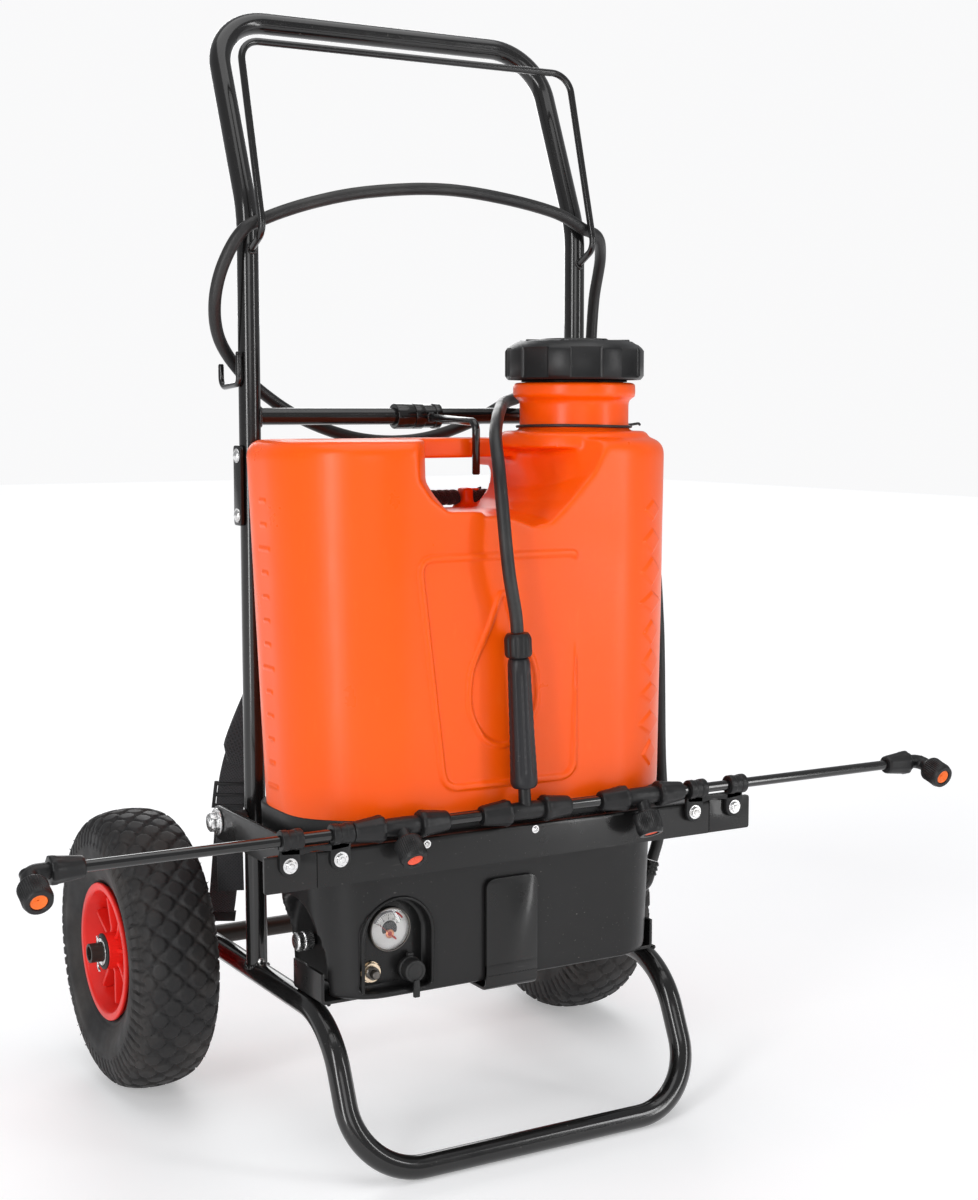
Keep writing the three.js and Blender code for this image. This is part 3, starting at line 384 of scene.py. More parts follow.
def stitched(rows, count):
    """Faces between rings of count vertices that start at the given rows, and a lid at each end."""
    faces = [[a + k, a + (k + 1) % count, b + (k + 1) % count, b + k]
             for a, b in zip(rows, rows[1:]) for k in range(count)]
    return faces + [list(range(rows[0], rows[0] + count))[::-1], list(range(rows[-1], rows[-1] + count))]


def eased(points, radius, steps=3, closed=False):
    """Rounds the corners of a line of points. radius may be a function of the corner's number."""
    out = []
    count = len(points)
    for i, p in enumerate(points):
        if not closed and i in (0, count - 1):
            out.append(tuple(p))
            continue
        before, here, after = Vector(points[i - 1]), Vector(p), Vector(points[(i + 1) % count])
        r = radius(i) if callable(radius) else radius
        back, ahead = before - here, after - here
        reach = min(r, back.length * 0.46, ahead.length * 0.46)
        if reach < 1e-4:
            out.append(tuple(p))
            continue
        a, b = here + back.normalized() * reach, here + ahead.normalized() * reach
        for k in range(steps + 1):
            t = k / steps
            out.append(tuple(a * (1 - t) ** 2 + here * 2 * t * (1 - t) + b * t * t))
    return out


def bent(corners, steps):
    """Centreline of a bent tube: corners as (point, bend radius), rounded by arcs."""
    points = [Vector(corners[0][0])]
    for i in range(1, len(corners) - 1):
        here, radius = Vector(corners[i][0]), corners[i][1]
        back = (Vector(corners[i - 1][0]) - here).normalized()
        ahead = (Vector(corners[i + 1][0]) - here).normalized()
        half = back.angle(ahead) / 2
        start = here + back * (radius / math.tan(half))
        centre = here + (back + ahead).normalized() * (radius / math.sin(half))
        spoke = start - centre
        axis = ahead.cross(back).normalized()
        for k in range(steps + 1):
            points.append(Quaternion(axis, (math.pi - 2 * half) * k / steps) @ spoke + centre)
    points.append(Vector(corners[-1][0]))
    return points


def ring_section(radius, sides):
    return [(radius * math.cos(2 * math.pi * k / sides), radius * math.sin(2 * math.pi * k / sides))
            for k in range(sides)]


END_TAPER = 0.72


def sweep(points, section, wide=None, rounded_end=0.0):
    """Carries a closed section along points; wide is its local X direction."""
    points = [Vector(p) for p in points]
    verts, faces, rows, uvs = [], [], [], []
    tangents = []
    for i in range(len(points)):
        a, b = points[max(i - 1, 0)], points[min(i + 1, len(points) - 1)]
        tangents.append((b - a).normalized())
    side = Vector(wide) if wide is not None else tangents[0].orthogonal()
    run = [0.0]
    for a, b in zip(points, points[1:]):
        run.append(run[-1] + (b - a).length)
    around = [0.0]
    for a, b in zip(section, section[1:] + section[:1]):
        around.append(around[-1] + math.dist(a, b))
    last = None
    for i, (p, tangent) in enumerate(zip(points, tangents)):
        if wide is not None:
            side = Vector(wide)
        elif last is not None:
            side = last.rotation_difference(tangent) @ side
        side = (side - tangent * side.dot(tangent)).normalized()
        up = tangent.cross(side)
        rows.append([len(verts) + k for k in range(len(section))])
        verts += [tuple(p + side * x + up * y) for x, y in section]
        last = tangent
    n = len(section)
    for i in range(len(rows) - 1):
        for k in range(n):
            faces.append([rows[i][k], rows[i][(k + 1) % n], rows[i + 1][(k + 1) % n], rows[i + 1][k]])
            uvs.append([(around[k] * MM, run[i] * MM), (around[k + 1] * MM, run[i] * MM),
                        (around[k + 1] * MM, run[i + 1] * MM), (around[k] * MM, run[i + 1] * MM)])
    for row, tangent, order in ((rows[0], -tangents[0], -1), (rows[-1], tangents[-1], 1)):
        centre = sum((Vector(verts[i]) for i in row), Vector()) / n
        ring = row
        if rounded_end:
            ring = [len(verts) + k for k in range(n)]
            verts += [tuple(centre + (Vector(verts[i]) - centre) * END_TAPER + tangent * rounded_end)
                      for i in row]
            for k in range(n):
                quad = [row[k], row[(k + 1) % n], ring[(k + 1) % n], ring[k]]
                faces.append(quad if order > 0 else quad[::-1])
                uvs.append(None)
        faces.append(ring if order > 0 else ring[::-1])
        uvs.append(None)
    return verts, faces, uvs


def pipe(points, radius, sides, rounded_end=0.0):
    return sweep(points, ring_section(radius, sides), rounded_end=rounded_end)


def area_of(outline):
    return sum(a[0] * b[1] - b[0] * a[1] for a, b in zip(outline, outline[1:] + outline[:1])) / 2


def inset(outline, amount):
    """Moves a counter-clockwise outline inward by amount."""
    out = []
    n = len(outline)
    for i in range(n):
        a, p, b = Vector(outline[i - 1]), Vector(outline[i]), Vector(outline[(i + 1) % n])
        e1, e2 = (p - a).normalized(), (b - p).normalized()
        n1, n2 = Vector((-e1.y, e1.x)), Vector((-e2.y, e2.x))
        m = n1 + n2
        m = m / max(m.length_squared / 2, 0.3)
        out.append(tuple(p + m * amount))
    return out


EDGE_STEPS = 2


def prism(outline, depth, edge):
    """An outline in XY, extruded from Z 0 to depth with rounded edges."""
    outline = [tuple(p) for p in outline]
    if area_of(outline) < 0:
        outline.reverse()
    edge = min(edge, depth * 0.45)
    levels = []
    for k in range(EDGE_STEPS + 1):
        turn = math.pi / 2 * k / EDGE_STEPS
        levels.append((edge * (1 - math.sin(turn)), edge * (1 - math.cos(turn))))
    levels += [(i, depth - z) for i, z in reversed(levels)]
    verts, rows = [], []
    for amount, z in levels:
        rows.append(len(verts))
        verts += [(x, y, z) for x, y in (inset(outline, amount) if amount > 1e-6 else outline)]
    return verts, stitched(rows, len(outline))


def box(x0, y0, z0, x1, y1, z1, edge):
    verts, faces = prism([(x0, y0), (x1, y0), (x1, y1), (x0, y1)], z1 - z0, edge)
    return [(x, y, z + z0) for x, y, z in verts], faces


def nut(across, height):
    """A hexagon nut with its corners turned off at both ends."""
    corner = across / math.cos(math.pi / 6)

    def hexagon(r, z, angle):
        flat = across / math.cos((angle + math.pi / 6) % (math.pi / 3) - math.pi / 6)
        return min(r, flat) if r > across * 0.6 else r

    c = 0.14 * across
    profile = [(0, 0), (across * 0.97, 0), (corner, c), (corner, height - c), (across * 0.97, height),
               (0, height)]
    return lathe(profile, 72, hexagon)


def dome_screw(radius):
    """Round head with a cross recess stood in for by a small dish."""
    return lathe([(0, 0.25 * radius), (0.3 * radius, 0.3 * radius), (0.42 * radius, 0.58 * radius),
                  (0.75 * radius, 0.45 * radius), (radius, 0.08 * radius), (radius, 0), (0, 0)], 32)


UNEVEN, STRAY = 0.3, 0.25


def bead(points, radius, seed):
    """A weld: a short string of overlapping lumps, a little off line and uneven in size."""
    made = Shape()
    luck = random.Random(seed)
    for p in points:
        r = radius * luck.uniform(1 - UNEVEN, 1 + UNEVEN * 0.6)
        ball = lathe([(0, -r), (r * 0.7, -r * 0.7), (r, 0), (r * 0.7, r * 0.7), (0, r)], 12)
        made.put(ball, at(*[c + luck.uniform(-STRAY, STRAY) for c in p]))
    return made


def weld_ring(centre, radius, axis, size, seed, count, dip=None):
    """Weld lumps around a round joint. dip(direction) moves the lump that lies that way along the axis."""
    x = axis.orthogonal().normalized()
    y = axis.cross(x)
    points = []
    for k in range(count):
        angle = 2 * math.pi * k / count
        across = x * math.cos(angle) + y * math.sin(angle)
        points.append(Vector(centre) + across * radius + axis * (dip(across) if dip else 0))
    return bead(points, size, seed)


def solid_of(shape):
    """A short-lived object for the boolean cuts, its faces turned outward."""
    mesh = bpy.data.meshes.new("work")
    mesh.from_pydata(shape.verts, [], shape.faces)
    mesh.validate()
    work = bmesh.new()
    work.from_mesh(mesh)
    bmesh.ops.recalc_face_normals(work, faces=work.faces)
    work.to_mesh(mesh)
    work.free()
    obj = bpy.data.objects.new("work", mesh)
    bpy.context.scene.collection.objects.link(obj)
    return obj


def carved(body, cutters, extras, voxel, smoothing):
    """Cuts shapes out of a body, joins extras to it, and returns it as one even, softly rounded mesh."""
    base = solid_of(body)
    tools = [solid_of(c) for c in cutters]
    for tool in tools:
        cutting = base.modifiers.new("cut", "BOOLEAN")
        cutting.operation = "DIFFERENCE"
        cutting.solver = "EXACT"
        cutting.object = tool
    depsgraph = bpy.context.evaluated_depsgraph_get()
    cut = bpy.data.meshes.new_from_object(base.evaluated_get(depsgraph))
    work = bmesh.new()
    work.from_mesh(cut)
    for extra in extras:
        mesh = bpy.data.meshes.new("extra")
        mesh.from_pydata(extra.verts, [], extra.faces)
        work.from_mesh(mesh)
    joined = bpy.data.meshes.new("joined")
    work.to_mesh(joined)
    work.free()
    whole = bpy.data.objects.new("whole", joined)
    bpy.context.scene.collection.objects.link(whole)
    remesh = whole.modifiers.new("even", "REMESH")
    remesh.mode = "VOXEL"
    remesh.voxel_size = voxel
    soft = whole.modifiers.new("soft", "SMOOTH")
    soft.factor = 0.5
    soft.iterations = smoothing
    depsgraph = bpy.context.evaluated_depsgraph_get()
    made = bpy.data.meshes.new_from_object(whole.evaluated_get(depsgraph))
    for obj in [base, whole] + tools:
        bpy.data.objects.remove(obj)
    return made


def in_metres(mesh):
    mesh.transform(Matrix.Scale(MM, 4))
    return mesh


# ---------------------------------------------------------------- the hose
HOSE_R = 5.5
HOSE_ROUTE = [
    (190, -106, 210), (198, -105, 232), (203, -103, 262), (202, -101, 310), (200, -98, 440),
    (199, -88, 505), (197, -55, 560), (193, -10, 610), (198, 18, 655), (206, 28, 700),
    (208, 26, 742), (203, 8, 780), (186, -12, 797), (164, -20, 803), (135, -22, 815),
    (25, -23, 830), (-60, -22, 824), (-115, -21, 812), (-158, -20, 797), (-179, -18, 786),
    (-195, -11, 757), (-199, 0, 725), (-190, 14, 695), (-168, 24, 668), (-140, 27, 645),
    (-100, 27, 622), (-45, 26, 606), (15, 26, 606), (70, 24, 622), (102, 8, 642),
    (88, -24, 643), (60, -50, 639), (34, -88, 633), (8, -128, 626), (-14, -162, 610),
    (-26, -188, 584), (-30, -202, 545), (-27, -206, 500), (-18.6, -203.3, 463), (-17.1, -203, 449.4),
]


def smooth_route(points, steps=14):
    """The centripetal Catmull-Rom curve through the points, as the frame's hose has it."""
    points = [Vector(p) for p in points]
    ends = [points[0] * 2 - points[1]] + points + [points[-1] * 2 - points[-2]]
    out = []
    for i in range(len(points) - 1):
        a, b, c, d = ends[i:i + 4]
        gap0, gap1, gap2 = (math.sqrt((q - p).length) for p, q in ((a, b), (b, c), (c, d)))
        t1 = ((b - a) / gap0 - (c - a) / (gap0 + gap1) + (c - b) / gap1) * gap1
        t2 = ((c - b) / gap1 - (d - b) / (gap1 + gap2) + (d - c) / gap2) * gap1
        for k in range(steps):
            t = k / steps
            square, cube = b * -3 + c * 3 - t1 * 2 - t2, b * 2 - c * 2 + t1 + t2
            out.append(b + t1 * t + square * t * t + cube * t ** 3)
    return out + [points[-1]]


hose_line = smooth_route(HOSE_ROUTE)
hose_length = sum((b - a).length for a, b in zip(hose_line, hose_line[1:])) * MM
hose = show("spray_hose_skin", Shape().put(pipe(hose_line, HOSE_R, 20)), hose_rubber,
            stands_for=["spray_hose"], sharp=60)
[c * MM for c in HOSE_ROUTE[0]]

# ---------------------------------------------------------------- trolley
WHEEL_R, WHEEL_X, AXLE_Y, AXLE_R = 130, 235, 128, 9
LOOP_R, RAIL_Z, FRAME_X, FOOT_Y, LEG_SLOPE = 10, 130, 168, -206, 0.45
UPRIGHT_R, BEND_Z, HANDLE_TOP_Z, HANDLE_LEAN = 9.5, 803, 979, math.radians(23)
SPRAYER_X = -6
SIDES = (("left", -1), ("right", 1))
X_AXIS, Y_AXIS, Z_AXIS = Vector((1, 0, 0)), Vector((0, 1, 0)), Vector((0, 0, 1))


def mirrored_bend(half, steps):
    """Centreline of a tube bent alike on both sides, from (y, z, bend radius) of its left half."""
    corners = [((-FRAME_X, y, z), radius) for y, z, radius in half]
    corners += [((FRAME_X, y, z), radius) for y, z, radius in half[::-1]]
    return bent(corners, steps)


loop_bend = [(AXLE_Y - AXLE_R - 0.3, RAIL_Z, 0), (FOOT_Y + (RAIL_Z - LOOP_R) * LEG_SLOPE, RAIL_Z, 70),
             (FOOT_Y, LOOP_R, 60)]
loop_piece = Shape().put(pipe(mirrored_bend(loop_bend, 18), LOOP_R, 32))
for side in (-1, 1):
    loop_piece.put(weld_ring((side * FRAME_X, 0, RAIL_Z + 10.4), UPRIGHT_R + 0.5, Z_AXIS, 1.9, 5 + side, 34,
                             lambda v: -abs(v.x) * 5.5))
    loop_piece.put(weld_ring((side * FRAME_X, AXLE_Y - AXLE_R - 0.4, RAIL_Z), LOOP_R - 1.0, Y_AXIS,
                             2.0, 9 + side, 30, lambda v: abs(v.x) * 2.0))
show("base_loop_tube", loop_piece, frame_paint, stands_for=["base_loop"], sharp=50)


def foot_rivets():
    """Bright plug of the pin through each upright's foot, front and back."""
    rivets = Shape()
    for side in (-1, 1):
        for facing, turn in ((-1, TO_FRONT), (1, TO_BACK)):
            rivets.put(dome_screw(3.4), at(side * FRAME_X, facing * (UPRIGHT_R - 0.6), 141, turn))
    return rivets


show("upright_foot_rivets", foot_rivets(), zinc)

axle = Shape().put(lathe(eased([(AXLE_R - 2.5, -282), (AXLE_R, -282), (AXLE_R, 282), (AXLE_R - 2.5, 282),
                                (AXLE_R - 2.5, -282)], 0.5), 40), at(0, AXLE_Y, WHEEL_R, TO_X))
show("rear_axle_tube", axle, [coated("axle_paint", (0.02, 0.014, 0.011), 0.4, dust=0.9, scuffs=1.0)],
     stands_for=["rear_axle"], sharp=50)


handle_bend = [(0, RAIL_Z + 7, 0), (0, BEND_Z, 90),
               ((HANDLE_TOP_Z - BEND_Z) * math.tan(HANDLE_LEAN), HANDLE_TOP_Z, 50)]
show("handle_tube", Shape().put(pipe(mirrored_bend(handle_bend, 16), UPRIGHT_R, 32)), frame_paint,
     stands_for=["handle_frame"], sharp=50)

CROSSBAR_Z, CROSSBAR_R, BAIL_R = 627, 7.5, 3.2
bar = Shape().put(lathe([(0, -FRAME_X + 5), (CROSSBAR_R, -FRAME_X + 5), (CROSSBAR_R, FRAME_X - 5),
                         (0, FRAME_X - 5)], 32),
                  at(0, 0, CROSSBAR_Z, TO_X))
for side in (-1, 1):
    bar.put(weld_ring((side * (FRAME_X - UPRIGHT_R - 0.5), 0, CROSSBAR_Z), CROSSBAR_R + 0.4, X_AXIS, 1.7,
                      21 + side, 26, lambda v, s=side: s * abs(v.y) * 3.0))
show("crossbar_tube", bar, frame_paint, stands_for=["crossbar"], sharp=50)


BAIL_WELD_Z = 771


def bail():
    half = [(-UPRIGHT_R + 1, BAIL_WELD_Z, 0), (-34, 784, 12), (12, 950, 18)]
    made = Shape().put(pipe(mirrored_bend(half, 10), BAIL_R, 20))
    for side in (-1, 1):
        made.put(weld_ring((side * FRAME_X, -UPRIGHT_R - 0.5, BAIL_WELD_Z), BAIL_R + 0.5, Y_AXIS, 1.5,
                           31 + side, 16, lambda v: abs(v.x) * 0.8))
    return made


show("hose_bail_rod", bail(), frame_paint, stands_for=["hose_bail"], sharp=50)


def hook_rod():
    x = -FRAME_X - UPRIGHT_R - 2.9
    line = bent([((x, -6, 682), 0), ((x, -6, 655), 6), ((x, 34, 652), 9), ((x, 34, 672), 0)], 8)
    made = Shape().put(pipe(line, 2.5, 16, rounded_end=1.0))
    made.put(bead([(x + 1.2, -6 + k * 0.4, 664 + k * 2.2) for k in range(7)], 1.5, 41))
    return made


show("hose_hook_rod", hook_rod(), frame_paint, stands_for=["hose_hook"], sharp=50)


def splice():
    """Plate that joins the left upright's two lengths, and its two screws."""
    x = -FRAME_X - UPRIGHT_R - 0.3
    outline = eased([(-8, 532), (8, 532), (8, 602), (-8, 602)], 4, 5, closed=True)
    plate = Shape().put(prism(outline, 3, 0.5), at(x - 3, 0, 0, TO_X))
    screws = Shape()
    for z in (541, 593):
        head = lathe([(0, 2.6), (2.2, 2.5), (4.1, 1.5), (4.8, 0), (0, 0)], 32)
        screws.put(head, at(x - 3, 0, z, TO_LEFT))
        screws.put(lathe([(0, 0.7), (6.2, 0.7), (6.4, 0.3), (6.2, 0), (0, 0)], 32),
                   at(x - 3, 0, z, TO_LEFT))
    return plate, screws


plate, screws = splice()
show("splice_plate_skin", plate, sheet_paint, stands_for=["splice_plate"])
show("splice_screws", screws, zinc)

# ---------------------------------------------------------------- tray and catch strap
TRAY_Z, TRAY_FRONT_Y, TRAY_BACK_Y, LUG_TOP = RAIL_Z + LOOP_R + 0.3, -148, -92, 167
BASE_HALF_W, BASE_FRONT_Y, BASE_BACK_Y = 163, -168, -34
BASE_BOTTOM_Z, BASE_TOP_Z = 144, 285


def sheet_line(points, thickness, bend):
    """Outline of a folded sheet: a line rounded at its bends, with a thickness to its left."""
    line = eased(points, bend, 4)
    far = []
    for i, p in enumerate(line):
        a, b = Vector(line[max(i - 1, 0)]), Vector(line[min(i + 1, len(line) - 1)])
        along = (b - a).normalized()
        far.append((p[0] - along.y * thickness, p[1] + along.x * thickness))
    return line + far[::-1]


def tray():
    half = BASE_HALF_W + 4.3
    left, right = SPRAYER_X - half, SPRAYER_X + half
    section = sheet_line([(left, LUG_TOP), (left, TRAY_Z), (right, TRAY_Z), (right, LUG_TOP)], 3, 5)
    length = TRAY_BACK_Y - TRAY_FRONT_Y
    made = Shape().put(prism(section, length, 0.5), at(0, TRAY_BACK_Y, 0, TO_FRONT))
    for side in (-1, 1):
        made.put(bead([(side * (FRAME_X - 1) - side * 2, TRAY_FRONT_Y + 3 + k * 3.1, TRAY_Z - 0.6)
                       for k in range(17)],
                      2.0, 51 + side))
    return made


show("tray_sheet", tray(), sheet_paint, stands_for=["tray_bar"])


def catch():
    """A strap folded from under the tray up the front of the base, its top corners rounded."""
    front, under, thickness = BASE_FRONT_Y - 5.3, TRAY_Z - 0.3, 3
    left, right, top = -31, 20, 235
    section = sheet_line([(TRAY_BACK_Y, under), (front, under), (front, under + 20)], thickness, 5)
    made = Shape().put(prism(section, right - left, 0.5), at(left, 0, 0, TO_X))
    upright = eased([(left, under + 10), (right, under + 10), (right, top), (left, top)],
                    lambda i: 9 if i > 1 else 0.2, 8, closed=True)
    return made.put(prism(upright, thickness, 0.5), at(0, front, 0, TO_FRONT))


show("catch_strap_sheet", catch(), sheet_paint, stands_for=["catch_strap"])

# ---------------------------------------------------------------- hook over the tank's grip
GRIP_FRONT_Y = -84
HOOK_X, HOOK_R = 7, 3.5


def tank_hook():
    line = bent([((HOOK_X, -6, 626), 0), ((HOOK_X, GRIP_FRONT_Y - 8, 622), 8),
                 ((HOOK_X, GRIP_FRONT_Y - 8, 577), 0)], 10)
    made = Shape().put(pipe(line, HOOK_R, 20, rounded_end=1.0))
    for x0, x1 in ((-27, -9), (-8.4, 1.5), (12.5, 19)):
        made.put(lathe(eased([(CROSSBAR_R + 0.3, x0), (CROSSBAR_R + 4, x0), (CROSSBAR_R + 4, x1),
                              (CROSSBAR_R + 0.3, x1),
                              (CROSSBAR_R + 0.3, x0)], 0.8, 3), 40), at(0, 0, CROSSBAR_Z, TO_X))
    made.put(lathe([(CROSSBAR_R + 0.3, -9.2), (CROSSBAR_R + 3, -9.2), (CROSSBAR_R + 3, 13),
                    (CROSSBAR_R + 0.3, 13), (CROSSBAR_R + 0.3, -9.2)], 40), at(0, 0, CROSSBAR_Z, TO_X))
    made.put(weld_ring((HOOK_X, -CROSSBAR_R - 2.6, 626), 3.6, Y_AXIS, 1.5, 61, 14))
    return made


show("tank_hook_rod", tank_hook(), frame_paint, "hook", ["tank_hook"], sharp=50)

# ---------------------------------------------------------------- wheels
# The tyre's section as (radius, distance outward), from the middle of the tread to the bead.
TYRE_HALF = [(130, 0), (129.5, 11), (127.5, 22), (124, 30), (119, 34.5), (112, 38), (103, 39.6), (90, 39.6),
             (75, 34.5), (61, 27)]
AROUND, ACROSS = 640, 122                      # the tyre's mesh, round it and across its outside
TREAD_PERIODS = 34
TREAD_EDGE, SHOULDER_IN, SHOULDER_OUT = 42, 37, 60   # distances from the tyre's middle along its section
GROOVE_DEPTH, CROSSING_DEPTH, SHOULDER_DEPTH = 1.5, 1.6, 2.0


def smooth_step(x):
    x = max(0.0, min(1.0, x))
    return x * x * (3 - 2 * x)


def resampled(points, count):
    """The same line cut into equal steps, with its run from the start and its left-hand normal."""
    points = [Vector(p) for p in eased(points, 4, 6)]
    run = [0.0]
    for a, b in zip(points, points[1:]):
        run.append(run[-1] + (b - a).length)
    out, i = [], 0
    for k in range(count + 1):
        s = run[-1] * k / count
        while i < len(run) - 2 and run[i + 1] < s:
            i += 1
        span = max(run[i + 1] - run[i], 1e-9)
        out.append((points[i].lerp(points[i + 1], (s - run[i]) / span), s))
    shaped = []
    for k, (p, s) in enumerate(out):
        along = (out[min(k + 1, count)][0] - out[max(k - 1, 0)][0]).normalized()
        shaped.append((p, s, Vector((-along.y, along.x))))
    return shaped


def near_whole(x):
    return abs(x - round(x))


def tread_depth(turn, s):
    """Depth of the tread pattern at a share of a turn and a distance from the tyre's middle."""
    period = 2 * math.pi * WHEEL_R / TREAD_PERIODS
    a, b = turn * TREAD_PERIODS, s / period
    d1, d2 = near_whole(a + b) * period * 0.707, near_whole(a - b) * period * 0.707
    depth = 0.0
    if abs(s) < TREAD_EDGE:
        crossing = max(0.0, 1 - math.hypot(d1, d2) / 7.5)
        width = 0.95 + 2.4 * crossing
        cut = max(smooth_step(1.5 - d1 / width), smooth_step(1.5 - d2 / width))
        depth = (GROOVE_DEPTH + CROSSING_DEPTH * crossing) * cut * smooth_step((TREAD_EDGE - abs(s)) / 4)
    if SHOULDER_IN < abs(s) < SHOULDER_OUT:
        lug = near_whole(turn * TREAD_PERIODS * 2) * period / 2
        reach = smooth_step((abs(s) - SHOULDER_IN) / 4) * smooth_step((SHOULDER_OUT - abs(s)) / 6)
        depth = max(depth, SHOULDER_DEPTH * smooth_step(1.7 - lug / 1.3) * reach)
        depth = max(depth, 0.7 * smooth_step(1.4 - abs(abs(s) - 44) / 0.9))
    return depth


def side_lift(radius):
    """Height of the moulded rings on the sidewall."""
    lift = 0.0
    for ring, wide, high in ((66, 1.4, 0.9), (70.5, 0.8, 0.5), (97, 0.8, 0.5), (101, 1.2, 0.7)):
        lift = max(lift, high * smooth_step(1.5 - abs(radius - ring) / wide))
    return lift


HAIRS = 90


def tyre():
    half = resampled(TYRE_HALF, ACROSS // 2)
    section = [(p, -s, Vector((n.x, -n.y)), -1) for p, s, n in reversed(half[1:])]
    section += [(p, s, n, 1) for p, s, n in half]
    verts, rows = [], []
    for p, s, normal, side in section:
        rows.append(len(verts))
        for k in range(AROUND):
            turn = k / AROUND
            sunk = tread_depth(turn, s) - (side_lift(p.x) if abs(s) > 50 else 0.0)
            r, w = p.x - abs(normal.x) * sunk, side * (p.y - abs(normal.y) * sunk)
            angle = 2 * math.pi * turn
            verts.append((w, r * math.cos(angle), r * math.sin(angle)))
    inner = [(61, 24), (84, 30), (104, 30), (114, 20), (117, 0), (114, -20), (104, -30), (84, -30),
             (61, -24)]
    for r, w in inner:
        rows.append(len(verts))
        for k in range(AROUND):
            angle = 2 * math.pi * k / AROUND
            verts.append((w, r * math.cos(angle), r * math.sin(angle)))
    faces = [[a + k, b + k, b + (k + 1) % AROUND, a + (k + 1) % AROUND]
             for a, b in zip(rows, rows[1:] + rows[:1]) for k in range(AROUND)]
    made = Shape().put((verts, faces))
    luck = random.Random(7)
    for _ in range(HAIRS):                     # moulding hairs on the tread's shoulders and sidewalls
        turn = luck.uniform(0, 2 * math.pi)
        r, w = luck.choice([(119.5, 34.0), (115, 36.5), (95, 39.2), (108, 38.6)])
        side = luck.choice([-1, 1])
        if math.sin(turn) < -0.93 or abs(math.cos(turn)) > 0.97:
            continue
        root = Vector((side * w, (r - 0.6) * math.cos(turn), (r - 0.6) * math.sin(turn)))
        lean = Vector((side * luck.uniform(0.3, 0.6), math.cos(turn) * 0.8 + luck.uniform(-0.3, 0.3),
                       math.sin(turn) * 0.8 + luck.uniform(-0.3, 0.3))).normalized()
        reach = luck.uniform(1.5, 3.2) if w < 37 else luck.uniform(0.6, 1.0)
        made.put(pipe([root, root + lean * reach], 0.28, 5))
    return made


def rim():
    """Moulded rim: a rolled lip at each side, a dished web with ribs, and a long hub."""
    shell = eased([(64, 31), (64, 34), (57, 34), (47, 4), (17, 4), (17, 33), (13.2, 33), (13.2, -33),
                   (17, -33), (17, 1), (47, 1), (57, -34), (64, -34), (64, -31), (60.4, -28), (60.4, 28)],
                  lambda i: (1.2, 1.4, 2.6, 4.0, 1.6, 0.9, 0.9, 0.9, 0.9, 1.6, 3.0, 2.6, 1.4, 1.2, 1.0,
                             1.0)[i], 5, closed=True)
    made = Shape().put(lathe(shell + shell[:1], 144), TO_X)
    outline = eased([(15, 3), (46.3, 3), (51.5, 20), (49, 26), (20, 24), (15, 26)], 1.6, 3, closed=True)
    for k in range(8):
        made.put(prism(outline, 4, 0.8),
                 about("X", 45 * k) @ axes((0, 1, 0), (1, 0, 0), (0, 0, -1)) @ at(0, 0, -2))
    made.put(lathe(eased([(46.2, 3.6), (47.6, 3.6), (50.4, 12), (49.6, 12.3), (46.2, 3.6)], 0.1, 1), 96),
             TO_X)
    return made


hub_paint = coated("hub_bush_plastic", (0.013, 0.013, 0.013), 0.38, dust=0.4)
tyre_shape, rim_shape = tyre(), rim()
for word, side, spin in (("left", -1, 11), ("right", 1, 29)):
    hub = at(side * WHEEL_X, AXLE_Y, WHEEL_R, about("Z", 180 if side < 0 else 0))
    spun = hub @ about("X", spin)
    body = f"wheel_{word}"
    show(f"tyre_{word}_tread", Shape().put(tyre_shape, spun), tyre_rubber, body, [f"tyre_{word}"],
         60)
    show(f"rim_{word}_moulding", Shape().put(rim_shape, spun), red, body, [f"rim_{word}"],
         42)
    bush = eased([(AXLE_R + 0.3, -33), (12.8, -33), (12.8, 33), (AXLE_R + 0.3, 33)], 0.5, 2, closed=True)
    show(f"hub_bush_{word}_sleeve", Shape().put(lathe(bush + bush[:1], 48), hub @ TO_X), hub_paint, body,
         [f"hub_bush_{word}"], 50)
    seal = eased([(12.9, 32.8), (16.9, 32.8), (16.9, 34.2), (15.2, 35.4), (13.6, 35.4), (12.9, 34.6)], 0.4,
                 2, closed=True)
    show(f"hub_seal_{word}", Shape().put(lathe(seal + seal[:1], 64), hub @ TO_X), cap_rubber, body,
         sharp=50)
    washer = eased([(AXLE_R + 0.3, 33.6), (12.8, 33.6), (12.8, 35.8), (AXLE_R + 0.3, 35.8)], 0.5, 2,
                   closed=True)
    show(f"axle_washer_{word}_ring", Shape().put(lathe(washer + washer[:1], 48), hub @ TO_X), zinc, body,
         [f"axle_washer_{word}"], 50)
    pin = bent([((38.5, 0, -14), 0), ((38.5, 0, 15), 2), ((38.5, 4, 17), 2), ((38.5, 1.5, 12), 0)], 5)
    legs = bent([((38.5, 0, -12), 0), ((38.5, 0.5, -14.5), 1.5), ((38.5, 4.5, -17), 0)], 4)
    cotter = Shape().put(pipe(pin, 1.1, 10, rounded_end=0.4)).put(pipe(legs, 1.0, 10, rounded_end=0.4))
    show(f"cotter_pin_{word}", Shape().put(cotter, hub), zinc, "cart", sharp=50)

# ---------------------------------------------------------------- tank
TANK_HALF_W, TANK_BACK_Y, TANK_FRONT_Y, TANK_BOTTOM_Z, TANK_TOP_Z = 192, -13, -185, 286, 608
TANK_FRONT_R, WAVE_HEIGHT, WAVE_RATE = 88, 0.45, 0.011
NECK_X, NECK_Y, NECK_R = 104, -100, 49


